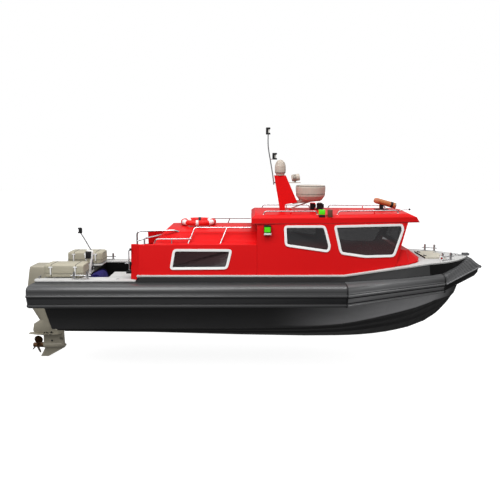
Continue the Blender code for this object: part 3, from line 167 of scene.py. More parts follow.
class NodeSheet:
    """A node tree that shading is drawn on."""

    def __init__(self, tree: bpy.types.NodeTree) -> None:
        """Keep the tree of a material or of the world."""
        self.tree = tree

    def node(
        self,
        kind: str,
        settings: dict | None = None,
        inputs: dict | None = None,
        output: int | str = 0,
    ) -> Signal:
        """Add a node.

        Args:
            kind: Type of the node.
            settings: Properties, set first.
            inputs: Values or signals, by socket name or number.
            output: Socket that the returned signal reads.

        Returns:
            The signal of that output.
        """
        made = self.tree.nodes.new(kind)
        for key, value in (settings or {}).items():
            setattr(made, key, value)
        for key, value in (inputs or {}).items():
            self.feed(made.inputs[key], value)
        return Signal(self, made.outputs[output])

    def feed(self, socket: bpy.types.NodeSocket, value: object) -> None:
        """Give a socket its value or link.

        Args:
            socket: The input socket.
            value: A number, a tuple or a signal.
        """
        if isinstance(value, Signal):
            self.tree.links.new(value.socket, socket)
        else:
            socket.default_value = value


class Sheet(NodeSheet):
    """The node tree of one material, with its Principled shader."""

    def __init__(self, name: str) -> None:
        """Start a material.

        Args:
            name: Name of the material.
        """
        self.material = bpy.data.materials.new(name)
        self.material.use_nodes = True
        super().__init__(self.material.node_tree)
        self.shader = self.tree.nodes["Principled BSDF"]

    def set(self, name: str, value: object) -> None:
        """Feed one input of the Principled shader."""
        self.feed(self.shader.inputs[name], value)

    def place(self) -> Signal:
        """Object coordinates."""
        return self.node("ShaderNodeTexCoord", output="Object")

    def axes(self) -> tuple[Signal, Signal, Signal]:
        """Split the object coordinates.

        Returns:
            X, Y and Z.
        """
        split = self.node("ShaderNodeSeparateXYZ", inputs={0: self.place()})
        outputs = split.socket.node.outputs
        return Signal(self, outputs[0]), Signal(self, outputs[1]), Signal(self, outputs[2])

    def noise(self, scale: float, detail: float = 3.0, stretch: Point = (1, 1, 1)) -> Signal:
        """Soft noise on object coordinates.

        Args:
            scale: Patches per metre.
            detail: Octaves.
            stretch: Scale along each axis.

        Returns:
            The noise, about 0.5 on average.
        """
        spot = self.node("ShaderNodeMapping", inputs={0: self.place(), "Scale": tuple(stretch)})
        inputs = {"Vector": spot, "Scale": scale, "Detail": detail}
        return self.node("ShaderNodeTexNoise", inputs=inputs)

    def mix(self, share: object, first: object, second: object) -> Signal:
        """Mix two colours.

        Args:
            share: How much of the second.
            first: Colour or signal.
            second: Colour or signal.

        Returns:
            The mixed colour.
        """
        colours = [(*c, 1.0) if isinstance(c, tuple) else c for c in (first, second)]
        inputs = {0: share, 6: colours[0], 7: colours[1]}
        return self.node("ShaderNodeMix", {"data_type": "RGBA"}, inputs, 2)

    def bump(self, height: Signal, metres: float) -> Signal:
        """Normal of a relief of this many metres."""
        return self.node("ShaderNodeBump", inputs={"Height": height, "Distance": metres})


def scaled(colour: Colour, share: float) -> Colour:
    """The colour with every channel multiplied."""
    return tuple(min(1.0, channel * share) for channel in colour)


@dataclass(frozen=True)
class Finish:
    """A painted or moulded surface with mild patches of tone and a fine grain."""

    name: str
    colour: Colour
    roughness: float = 0.4
    metallic: float = 0.0
    specular: float = 0.3
    variation: float = 0.10
    patch: float = 1.4
    relief: float = 0.0004
    grain: float = 160.0
    coat: float = 0.0

    def material(self) -> bpy.types.Material:
        """Make the material, or find it if it is made already.

        Returns:
            The finish's material.
        """
        known = bpy.data.materials.get(self.name)
        if known:
            return known
        sheet = Sheet(self.name)
        sheet.set("Metallic", self.metallic)
        sheet.set("Specular IOR Level", self.specular)
        sheet.set("Coat Weight", self.coat)
        sheet.set("Base Color", self.tint(sheet))
        sheet.set("Roughness", self.gloss(sheet))
        sheet.set("Normal", sheet.bump(self.height(sheet), self.relief))
        self.extras(sheet)
        return sheet.material

    def tint(self, sheet: Sheet) -> Signal:
        """Colour over the surface."""
        contrast = (1.0 - self.variation, 1.0 + self.variation)
        return self.tones(sheet, sheet.noise(self.patch), contrast)

    def tones(self, sheet: Sheet, share: Signal, contrast: Span) -> Signal:
        """Mix a duller and a brighter tone of the colour, by these two factors."""
        dull, bright = (scaled(self.colour, factor) for factor in contrast)
        return sheet.mix(share, dull, bright)

    def gloss(self, sheet: Sheet) -> Signal:
        """Roughness over the surface."""
        return sheet.noise(self.patch * 7.0) * (self.roughness * 0.3) + self.roughness * 0.85

    def height(self, sheet: Sheet) -> Signal:
        """Relief of the surface, from 0 to 1."""
        return sheet.noise(self.grain)

    def extras(self, sheet: Sheet) -> None:
        """Constants that only some finishes have."""


@dataclass(frozen=True)
class HullPaint(Finish):
    """Near-black hull paint with a painted reflection on the forward topsides above the chine and
    painted shade in the wells and on the bow bulwark.
    """

    contrast: Span = (0.85, 1.25)
    streak_scale: float = 2.2
    streak_stretch: Point = (0.35, 1.0, 2.4)
    # Painted reflection: pale colour mixed onto the forward topsides between the chine and z 0.55.
    flare_reflection_colour: Colour = (0.60, 0.60, 0.615)
    flare_starts: Span = (0.3, 3.4)
    flare_ends: Span = (3.7, 4.5)
    flare_top: Span = (0.5, 0.6)
    chine_climbs: Span = (1.2, 4.4)
    chine_aft_z: float = -0.078
    chine_rise: float = 0.36
    chine_edge: float = 0.035
    # Painted shade: the hull forward of x 3.59 and above z 0.75, where the bow bulwark stands.
    bow_shade_x: Span = (3.585, 3.595)
    bow_shade_z: Span = (0.74, 0.76)
    # Painted shade: hull faces inside the aft wells, x -3.45 to -1.89, above z 0.22, within 1 m of
    # the centreline.
    well_aft: Span = (-3.46, -3.44)
    well_fore: Span = (-1.90, -1.88)
    well_floor: Span = (0.20, 0.25)
    well_side_squared: Span = (1.00, 1.05)
    shade: float = 0.08

    def tint(self, sheet: Sheet) -> Signal:
        """Near black low down, with painted shade in the wells and on the bow bulwark and a paler
        painted reflection on the forward topsides.

        Args:
            sheet: Sheet that it is drawn on.

        Returns:
            The colour over the surface.
        """
        x, y, z = sheet.axes()
        # Painted reflection: share of the pale colour on the forward topsides, above the chine.
        fore = x.between(*self.flare_starts) * (1 - x.between(*self.flare_ends))
        chine = x.between(*self.chine_climbs) * self.chine_rise + self.chine_aft_z
        high = (z - chine).between(0.0, self.chine_edge) * (1 - z.between(*self.flare_top))
        streak = sheet.noise(self.streak_scale, 4.0, self.streak_stretch)
        share = fore * high * (streak * 0.5 + 0.6)
        base = self.tones(sheet, streak, self.contrast)
        topside = sheet.mix(share, base, self.flare_reflection_colour)
        # Painted shade: the bow bulwark and the inside of the aft wells go towards the dark shade
        # colour.
        locker = x.between(*self.bow_shade_x) * z.between(*self.bow_shade_z)
        length = x.between(*self.well_aft) * (1 - x.between(*self.well_fore))
        well = length * z.between(*self.well_floor)
        dark = locker + well * (1 - (y * y).between(*self.well_side_squared))
        return sheet.mix(dark, topside, scaled(self.colour, self.shade))


@dataclass(frozen=True)
class FoamSkin(Finish):
    """Rubber skin of the foam collar: pebbled, with faint lengthways scuffs."""

    specular: float = 0.6
    relief: float = 0.00006
    contrast: Span = (0.86, 1.12)
    scuff_scale: float = 2.0
    scuff_stretch: Point = (0.2, 1.0, 4.0)
    scuff_range: Span = (0.52, 0.80)
    scuff_share: float = 0.3
    scuff_tone: float = 1.5

    def tint(self, sheet: Sheet) -> Signal:
        """Grey with long pale scuffs.

        Args:
            sheet: Sheet that it is drawn on.

        Returns:
            The colour over the surface.
        """
        noise = sheet.noise(self.scuff_scale, stretch=self.scuff_stretch)
        scuff = noise.between(*self.scuff_range)
        base = self.tones(sheet, sheet.noise(self.patch), self.contrast)
        return sheet.mix(scuff * self.scuff_share, base, scaled(self.colour, self.scuff_tone))

    def height(self, sheet: Sheet) -> Signal:
        """Fine pebble cells."""
        inputs = {"Vector": sheet.place(), "Scale": self.grain}
        return sheet.node("ShaderNodeTexVoronoi", inputs=inputs)


@dataclass(frozen=True)
class NonSlip(Finish):
    """Pale deck paint with grit in rows and worn, cleaner patches."""

    specular: float = 0.20
    relief: float = 0.0012
    grain: float = 260.0
    contrast: Span = (0.86, 1.10)
    tread: float = 34.0
    stud_range: Span = (0.1, 0.8)
    grit_share: float = 0.5
    speck_scale: float = 220.0
    speck_range: Span = (0.55, 0.72)
    speck_share: float = 0.35
    speck_tone: float = 0.62

    def height(self, sheet: Sheet) -> Signal:
        """Low round studs in a square pattern.

        Args:
            sheet: Sheet that it is drawn on.

        Returns:
            The relief over the surface.
        """
        x, y, _ = sheet.axes()
        turn = math.tau * self.tread
        studs = (x * turn).wave() * (y * turn).wave()
        return studs.between(*self.stud_range) + sheet.noise(self.grain) * self.grit_share

    def tint(self, sheet: Sheet) -> Signal:
        """Grey with speckles and a few darker tracks.

        Args:
            sheet: Sheet that it is drawn on.

        Returns:
            The colour over the surface.
        """
        speck = sheet.noise(self.speck_scale, 2.0).between(*self.speck_range)
        base = self.tones(sheet, sheet.noise(self.patch, 4.0), self.contrast)
        return sheet.mix(speck * self.speck_share, base, scaled(self.colour, self.speck_tone))


@dataclass(frozen=True)
class Stainless(Finish):
    """Polished stainless tube with faint drawing lines and water marks."""

    mark_scale: float = 28.0
    mark_range: Span = (0.45, 0.8)
    mark_share: float = 0.18
    line_stretch: Point = (0.08, 1.0, 1.0)

    def gloss(self, sheet: Sheet) -> Signal:
        """Mostly polished, with duller marks."""
        marks = sheet.noise(self.mark_scale, 4.0).between(*self.mark_range)
        return marks * self.mark_share + self.roughness

    def height(self, sheet: Sheet) -> Signal:
        """Lines drawn along the boat."""
        return sheet.noise(self.grain, 2.0, self.line_stretch)


@dataclass(frozen=True)
class TintedGlass(Finish):
    """Dark glass that lets the inside show faintly."""

    alpha: float = 0.66
    # Painted reflection: brownish colour, full from z 1.25 to 1.5 on the panes and fading out by
    # 1.1 and 1.7.
    glass_reflection_colour: Colour = (0.050, 0.026, 0.028)
    reflection_top_fade: Span = (1.70, 1.50)
    reflection_bottom_fade: Span = (1.10, 1.25)

    def tint(self, sheet: Sheet) -> Signal:
        """Grey tint that turns brownish towards the bottom of the wheelhouse's panes, a painted
        reflection.

        Args:
            sheet: Sheet that it is drawn on.

        Returns:
            The colour over the surface.
        """
        _, _, z = sheet.axes()
        share = z.between(*self.reflection_top_fade) * z.between(*self.reflection_bottom_fade)
        return sheet.mix(share, self.colour, self.glass_reflection_colour)

    def extras(self, sheet: Sheet) -> None:
        """See-through share."""
        sheet.set("Alpha", self.alpha)


@dataclass(frozen=True)
class Lens(Finish):
    """Coloured lamp lens with vertical ribs that glows a little."""

    specular: float = 0.4
    relief: float = 0.0006
    glow: float = 0.25
    ribs: float = 90.0

    def height(self, sheet: Sheet) -> Signal:
        """Ribs."""
        x, _, _ = sheet.axes()
        return (x * math.tau * self.ribs).wave() * 0.5 + 0.5

    def extras(self, sheet: Sheet) -> None:
        """Glow of the same colour."""
        sheet.set("Emission Color", (*self.colour, 1.0))
        sheet.set("Emission Strength", self.glow)


@dataclass(frozen=True)
class Weave(Finish):
    """Woven cover cloth."""

    specular: float = 0.15
    contrast: Span = (0.7, 1.35)
    threads: float = 260.0
    sheen: float = 0.05

    def height(self, sheet: Sheet) -> Signal:
        """Over and under threads.

        Args:
            sheet: Sheet that it is drawn on.

        Returns:
            The relief over the surface.
        """
        x, y, z = sheet.axes()
        turn = math.tau * self.threads
        warp = (x * turn).wave()
        weft = ((y + z) * turn).wave()
        return warp * weft * 0.5 + 0.5

    def tint(self, sheet: Sheet) -> Signal:
        """Thread tone over soft fading."""
        return self.tones(sheet, sheet.noise(self.patch, 4.0), self.contrast)

    def extras(self, sheet: Sheet) -> None:
        """Soft sheen of cloth."""
        sheet.set("Sheen Weight", self.sheen)


@dataclass(frozen=True)
class Hide(Finish):
    """Leatherette with a cell grain."""

    def height(self, sheet: Sheet) -> Signal:
        """Cells of the grain.

        Args:
            sheet: Sheet that it is drawn on.

        Returns:
            The relief over the surface.
        """
        settings = {"feature": "DISTANCE_TO_EDGE"}
        inputs = {"Vector": sheet.place(), "Scale": self.grain}
        return sheet.node("ShaderNodeTexVoronoi", settings, inputs)


FLOOR = Lens("floor_look", (0.42, 0.42, 0.42), 0.9, specular=0.0, variation=0.01, relief=0.0,
             glow=2.1)
RED = Finish("red_gelcoat_look", (0.62, 0.006, 0.007), 0.34, specular=0.10, variation=0.05,
             patch=0.9, relief=0.0003, grain=60.0)
RED_DEEP = Finish("red_trim_look", (0.34, 0.010, 0.010), 0.40, specular=0.20)
HULL = HullPaint("dark_hull_look", (0.040, 0.040, 0.0408), 0.50, specular=0.12, relief=0.0006,
                 grain=40.0)
COLLAR = FoamSkin("collar_grey_look", (0.036, 0.0365, 0.038), 0.30, specular=0.75,
                  grain=170.0, patch=1.1)
# Painted light on the collar: a paler top as a painted highlight, an underside tone, and fore
# lengths paler all over as lit from the bow, with a paler underside still.
COLLAR_TOP_HIGHLIGHT = FoamSkin("collar_top_highlight_look", (0.062, 0.063, 0.065), 0.32)
COLLAR_UNDERSIDE_SHADING = FoamSkin("collar_underside_shading_look", (0.042, 0.043, 0.045), 0.34)
COLLAR_FORE = FoamSkin("collar_fore_lit_look", (0.098, 0.099, 0.101), 0.34)
COLLAR_FORE_UNDERSIDE_LIT = FoamSkin("collar_fore_underside_lit_look", (0.200, 0.201, 0.205), 0.34)
COLLAR_BOW = FoamSkin("collar_bow_look", (0.070, 0.071, 0.073), 0.34, specular=0.5)
# Painted highlight: pale tone of the bead along the bow collar's ridge.
COLLAR_RIDGE_HIGHLIGHT = FoamSkin("collar_ridge_highlight_look", (0.24, 0.24, 0.25), 0.30, relief=0.00004)
# Dark rubber of the joint bands, also used as painted shade in the grooves and under the bow
# collar.
COLLAR_SEAM_AND_SHADE = FoamSkin("collar_seam_and_shade_look", (0.018, 0.018, 0.019), 0.50, specular=0.25,
                       relief=0.0004, grain=210.0)
DECK = NonSlip("deck_grey_look", (0.55, 0.55, 0.54), 0.70)
DECK_PLAIN = Finish("deck_edge_look", (0.62, 0.62, 0.60), 0.45, specular=0.25)
HATCH_TAN = NonSlip("hatch_tan_look", (0.58, 0.55, 0.46), 0.65)
WHITE = Finish("white_frame_look", (0.80, 0.80, 0.79), 0.38, variation=0.04)
GLASS = TintedGlass("tinted_glass_look", (0.036, 0.036, 0.038), 0.10, specular=0.25,
                    relief=0.0001, grain=3.0)
STEEL = Stainless("polished_steel_look", (0.50, 0.50, 0.51), 0.26, 1.0, relief=0.0001,
                  grain=900.0)
PAINTED_POST = Finish("white_post_look", (0.78, 0.78, 0.77), 0.35, specular=0.35)
ENGINE = Finish("engine_beige_look", (0.375, 0.345, 0.27), 0.38, specular=0.35, variation=0.07,
                relief=0.0004, grain=180.0)
# Dark trim for seams, straps and rim lines, also used as painted shade in the engine's slots,
# intakes and hole.
ENGINE_TRIM_AND_SHADE = Finish("engine_trim_and_shade_look", (0.055, 0.052, 0.047), 0.50)
RAFT = Finish("raft_beige_look", (0.42, 0.39, 0.30), 0.48, specular=0.28, variation=0.08,
              relief=0.0007, grain=140.0)
DOME = Finish("dome_beige_look", (0.46, 0.40, 0.34), 0.45, specular=0.28, variation=0.06)
# Painted reflection: reddish tone of the radar's foot ring.
RADAR_RED_REFLECTION = Finish("radar_red_reflection_look", (0.42, 0.20, 0.17), 0.50)
BLACK = Finish("black_plastic_look", (0.010, 0.010, 0.011), 0.50, specular=0.25)
RUBBER = Finish("black_rubber_look", (0.014, 0.014, 0.015), 0.75, specular=0.15)
BROWN_BOX = Finish("brown_box_look", (0.13, 0.055, 0.03), 0.45)
GREEN = Lens("green_lens_look", (0.08, 0.62, 0.01), 0.22)
RED_LENS = Lens("red_lens_look", (0.70, 0.01, 0.01), 0.22)
CLEAR_LENS = Lens("clear_lens_look", (0.55, 0.55, 0.50), 0.15, specular=0.5, glow=0.1)
BLUE_SEAM = Weave("blue_seam_look", (0.003, 0.001, 0.050), 0.85, specular=0.1)
BLUE = Weave("blue_cover_look", (0.004, 0.0015, 0.085), 0.95, relief=0.0008, patch=3.0)
LAMP_BROWN = Finish("searchlight_brown_look", (0.42, 0.15, 0.05), 0.40, specular=0.35)
LAMP_SALMON = Finish("searchlight_back_look", (0.45, 0.15, 0.08), 0.40, specular=0.35)
BRONZE = Stainless("dark_bronze_look", (0.16, 0.085, 0.045), 0.30, 1.0, variation=0.35,
                   patch=9.0, relief=0.0004, grain=300.0)
SEAT = Hide("seat_leather_look", (0.085, 0.085, 0.090), 0.60, specular=0.25, relief=0.0008,
            grain=240.0)
RING_RED = Finish("ring_red_look", (0.66, 0.012, 0.010), 0.45, specular=0.25, relief=0.0006,
                  grain=120.0)
TAPE = Weave("tape_look", (0.62, 0.62, 0.62), 0.70, threads=60.0)
STRAP = Weave("strap_look", (0.030, 0.030, 0.032), 0.80, threads=180.0)


def eased(points: Iterable[Point], bend: float, steps: int = 4) -> list[Vector]:
    """Round the inner corners of a path.

    Args:
        points: Corners of the path.
        bend: How far before and after a corner the bend starts.
        steps: Points in each bend.

    Returns:
        The rounded path.
    """
    corners = [Vector(p) for p in points]
    path = [corners[0]]
    for before, corner, after in zip(corners, corners[1:], corners[2:]):
        reach = min(bend, (corner - before).length * 0.45, (after - corner).length * 0.45)
        start = corner + (before - corner).normalized() * reach
        end = corner + (after - corner).normalized() * reach
        for step in range(steps + 1):
            t = step / steps
            path.append(start.lerp(corner, t).lerp(corner.lerp(end, t), t))
    return path + [corners[-1]]


def standing(direction: Vector, at: Vector) -> Matrix:
    """Frame at a point whose Z axis is the given direction."""
    return Matrix.Translation(at) @ direction.to_track_quat("Z", "Y").to_matrix().to_4x4()


class Shape:
    """A bmesh under construction, with the forms that the boat's fittings are made of."""

    def __init__(self, finish: Finish) -> None:
        """Start an empty shape.

        Args:
            finish: Finish of the faces made next.
        """
        self.bm = bmesh.new()
        self.finishes = [finish]
        self.current = 0

    def use(self, finish: Finish) -> "Shape":
        """Give the faces made next another finish.

        Args:
            finish: The other finish.

        Returns:
            This shape.
        """
        if finish not in self.finishes:
            self.finishes.append(finish)
        self.current = self.finishes.index(finish)
        return self

    def _settle(self, before: set, edge: float = 0.0) -> "Shape":
        """Point the new faces outwards, give them the current finish and round their edges.

        Args:
            before: Vertices that stood there before the new part.
            edge: Width of the rounding.

        Returns:
            This shape.
        """
        verts = [v for v in self.bm.verts if v not in before]
        faces = list(dict.fromkeys(face for vert in verts for face in vert.link_faces))
        bmesh.ops.recalc_face_normals(self.bm, faces=faces)
        for face in faces:
            face.material_index = self.current
        if edge > 0:
            edges = [e for e in dict.fromkeys(e for v in verts for e in v.link_edges)
                     if len(e.link_faces) == 2 and e.calc_face_angle(0.0) > SHARP_EDGE]
            bmesh.ops.bevel(self.bm, geom=edges, offset=edge, offset_type="OFFSET",
                            segments=BEVEL_SEGMENTS, profile=0.5, affect="EDGES", material=-1,
                            clamp_overlap=True)
        return self

    def block(self, low: Point, high: Point, edge: float = 0.003) -> "Shape":
        """Add a box with rounded edges.

        Args:
            low: One corner.
            high: The opposite corner.
            edge: Width of the rounding.

        Returns:
            This shape.
        """
        before = set(self.bm.verts)
        low, high = (Vector(corner) for corner in zip(*map(sorted, zip(low, high))))
        matrix = Matrix.Translation((low + high) / 2) @ Matrix.Diagonal((*(high - low), 1.0))
        bmesh.ops.create_cube(self.bm, size=1.0, matrix=matrix)
        return self._settle(before, edge)

    def rod(self, start: Point, end: Point, radius: float, end_radius: float | None = None,
            sides: int = 20, edge: float = 0.002) -> "Shape":
        """Add a round bar or cone between two points.

        Args:
            start: First end.
            end: Other end.
            radius: Radius at the first end.
            end_radius: Radius at the other end, if it differs.
            sides: Number of sides.
            edge: Width of the rounding.

        Returns:
            This shape.
        """
        before = set(self.bm.verts)
        start, end = Vector(start), Vector(end)
        axis = end - start
        far = radius if end_radius is None else end_radius
        matrix = standing(axis.normalized(), (start + end) / 2)
        bmesh.ops.create_cone(self.bm, cap_ends=True, segments=sides, radius1=radius,
                              radius2=far, depth=axis.length, matrix=matrix)
        return self._settle(before, edge)

    def tube(self, points: Iterable[Point], radius: float, bend: float = 0.04, sides: int = 12
             ) -> "Shape":
        """Add a bent tube by pushing a ring along a path.

        Args:
            points: Corners of the path.
            radius: Radius of the tube.
            bend: Reach of each rounded corner.
            sides: Number of sides.

        Returns:
            This shape.
        """
        before = set(self.bm.verts)
        path = eased(points, bend)
        runs = [(b - a).normalized() for a, b in zip(path, path[1:])]
        headings = [runs[0]] + [(a + b).normalized() for a, b in zip(runs, runs[1:])] + [runs[-1]]
        pose = standing(headings[0], path[0])
        ring = bmesh.ops.create_circle(self.bm, cap_ends=True, segments=sides, radius=radius,
                                       matrix=pose)["verts"]
        edges = list(dict.fromkeys(e for v in ring for e in v.link_edges))
        for was, now, at in zip(headings, headings[1:], path[1:]):
            turn = was.rotation_difference(now).to_matrix().to_4x4()
            fresh = Matrix.Translation(at) @ turn @ Matrix.Translation(-pose.translation) @ pose
            grown = bmesh.ops.extrude_edge_only(self.bm, edges=edges)["geom"]
            ring = [g for g in grown if isinstance(g, bmesh.types.BMVert)]
            edges = [g for g in grown if isinstance(g, bmesh.types.BMEdge)
                     and g.verts[0] in ring and g.verts[1] in ring]
            bmesh.ops.transform(self.bm, matrix=fresh @ pose.inverted(), verts=ring)
            pose = fresh
        bmesh.ops.contextual_create(self.bm, geom=edges)
        return self._settle(before)

    def turned(self, profile: Sequence[Point], at: Point, axis: Point = (0, 0, 1),
               steps: int = 32) -> "Shape":
        """Add a body turned round an axis.

        Args:
            profile: Radius and height of each corner, from the bottom up.
            at: Point where the axis starts.
            axis: Direction of the axis.
            steps: Steps of the turn.

        Returns:
            This shape.
        """
        before = set(self.bm.verts)
        verts = [self.bm.verts.new((radius, 0.0, height)) for radius, height in profile]
        edges = [self.bm.edges.new(pair) for pair in zip(verts, verts[1:])]
        bmesh.ops.spin(self.bm, geom=verts + edges, cent=(0, 0, 0), axis=(0, 0, 1),
                       angle=math.tau, steps=steps, use_merge=True, use_duplicate=False)
        made = [v for v in self.bm.verts if v not in before]
        bmesh.ops.remove_doubles(self.bm, verts=made, dist=MERGE_DISTANCE)
        made = [v for v in self.bm.verts if v not in before]
        bmesh.ops.transform(self.bm, matrix=standing(Vector(axis).normalized(), Vector(at)),
                            verts=made)
        return self._settle(before)

    def torus(self, at: Point, axis: Point, radius: float, thick: float, steps: int = 36,
              sides: int = 12) -> "Shape":
        """Add a round ring.

        Args:
            at: Its centre.
            axis: Direction of its axis.
            radius: Radius to the middle of the ring.
            thick: Radius of the ring's own section.
            steps: Steps round the axis.
            sides: Sides of the section.

        Returns:
            This shape.
        """
        corners = [math.tau * n / sides for n in range(sides)]
        profile = [(radius + thick * math.cos(a), thick * math.sin(a)) for a in corners]
        return self.turned(profile + profile[:1], at, axis, steps)

    def girdle(self, node: str, at: Point, across: Point, width: float, rise: float,
               keep: FaceTest | None = None) -> "Shape":
        """Add a raised band that follows a node's skin between two parallel planes.

        Args:
            node: CAD node that wears the band.
            at: Point in the middle of the band.
            across: Direction across the band.
            width: Width of the band.
            rise: Height of the band over the skin.
            keep: Says which faces of the skin wear it; all of them if left out.

        Returns:
            This shape.
        """
        skin = bmesh.new()
        skin.from_mesh(frame["nodes"][node].data)
        bmesh.ops.remove_doubles(skin, verts=skin.verts, dist=MERGE_DISTANCE)
        across = Vector(across).normalized()
        for side in (1, -1):
            geom = skin.verts[:] + skin.edges[:] + skin.faces[:]
            bmesh.ops.bisect_plane(skin, geom=geom, dist=CUT_DISTANCE, plane_no=across * side,
                                   plane_co=Vector(at) + across * side * width / 2,
                                   clear_outer=True)
        if keep:
            extra = [face for face in skin.faces if not keep(face)]
            bmesh.ops.delete(skin, geom=extra, context="FACES")
        skin.normal_update()
        for vert in skin.verts:
            vert.co += vert.normal * rise
        bmesh.ops.solidify(skin, geom=skin.faces[:], thickness=rise + SINK)
        before = set(self.bm.verts)
        band = bpy.data.meshes.new("band")
        skin.to_mesh(band)
        skin.free()
        self.bm.from_mesh(band)
        bpy.data.meshes.remove(band)
        return self._settle(before)

    def taken(self, node: str) -> "Shape":
        """Add a merged copy of a CAD node's mesh, with flat faces joined.

        Args:
            node: Name of the CAD node.

        Returns:
            This shape.
        """
        self.bm.from_mesh(frame["nodes"][node].data)
        bmesh.ops.remove_doubles(self.bm, verts=self.bm.verts, dist=MERGE_DISTANCE)
        bmesh.ops.dissolve_limit(self.bm, angle_limit=math.radians(FLAT_DEGREES),
                                 verts=self.bm.verts, edges=self.bm.edges)
        for face in self.bm.faces:
            face.material_index = self.current
        return self

    def paint(self, finish: Finish, test: FaceTest) -> "Shape":
        """Give the faces that pass a test another finish.

        Args:
            finish: The other finish.
            test: Says whether a face gets it.

        Returns:
            This shape.
        """
        self.use(finish)
        for face in self.bm.faces:
            if test(face):
                face.material_index = self.current
        return self

    def put(self, name: str, slot: Slot, body: Body = Body.BOAT, stands_for: Sequence[str] = (),
            smooth: float = SMOOTH_DEGREES, rounding: float = 0.0) -> bpy.types.Object:
        """Make the object.

        Args:
            name: Name of the piece.
            slot: Not used.
            body: Body that it rides on.
            stands_for: CAD nodes that it replaces.
            smooth: Edges under this angle in degrees are shaded smooth.
            rounding: Width of a bevel on its sharp edges.

        Returns:
            The finished object.
        """
        mesh = bpy.data.meshes.new(name)
        self.bm.to_mesh(mesh)
        self.bm.free()
        for finish in self.finishes:
            mesh.materials.append(finish.material())
        mesh.shade_smooth()
        mesh.set_sharp_from_angle(angle=math.radians(smooth))
        obj = bpy.data.objects.new(name, mesh)
        bpy.context.scene.collection.objects.link(obj)
        if rounding > 0:
            bevel = obj.modifiers.new("rounding", "BEVEL")
            bevel.width = rounding
            bevel.segments = BEVEL_SEGMENTS
            bevel.limit_method = "ANGLE"
            bevel.angle_limit = math.radians(BEVEL_DEGREES)
            bevel.harden_normals = True
        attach(obj, body.value)
        if stands_for:
            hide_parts(*stands_for)
        return obj


def dressed(node: str, finish: Finish, slot: Slot, body: Body = Body.BOAT,
            smooth: float = SMOOTH_DEGREES, rounding: float = 0.0) -> None:
    """Replace a CAD node by its merged copy in a finish, with its edges rounded."""
    Shape(finish).taken(node).put(f"{node}_skin", slot, body, (node,), smooth, rounding)


def coat(finish: Finish, *nodes: str) -> None:
    """Give CAD nodes a finish on their material slots.

    Args:
        finish: The finish.
        nodes: Names of the CAD nodes.
    """
    for node in nodes:
        for slot in frame["nodes"][node].material_slots:
            slot.material = finish.material()


def mirrored(spot: Point, side: int) -> Vector:
    """The spot for port (1), or its mirror image for starboard (-1)."""
    return Vector((spot[0], spot[1] * side, spot[2]))


def both(stem: str) -> tuple[str, str]:
    """Names of a node's port and starboard copies."""
    return f"{stem}_port", f"{stem}_starboard"


def settle_modifiers(obj: bpy.types.Object) -> None:
    """Replace an object's mesh by what its modifiers make of it now.

    Args:
        obj: Object whose modifiers are applied and removed.
    """
    graph = bpy.context.evaluated_depsgraph_get()
    made = bpy.data.meshes.new_from_object(obj.evaluated_get(graph), depsgraph=graph)
    obj.modifiers.clear()
    obj.data = made


def add_lamp(shape: Shape, foot: Point, height: float, radius: float, back: int) -> None:
    """Add a navigation lamp: black cap, base and back, with a clear lens between.

    Args:
        shape: Shape that it is added to.
        foot: Middle of its underside.
        height: Height of the lamp.
        radius: Radius of its cap.
        back: Side of its blind back along X.
    """
    x, y, z = foot
    shape.use(BLACK)
    for outline in (LAMP_FOOT, LAMP_CAP):
        shape.turned([(radius * r, height * h) for r, h in outline], foot, steps=24)
    blind, lit = x + back * radius * 0.98, x + back * radius * 0.05
    half = radius * 0.8
    shape.block((blind, y - half, z + 0.01), (lit, y + half, z + height - 0.01), 0.006)
    shape.use(CLEAR_LENS)
    shape.turned([(radius * r, height * h) for r, h in LAMP_LENS], foot, steps=20)
    shape.use(BLACK)


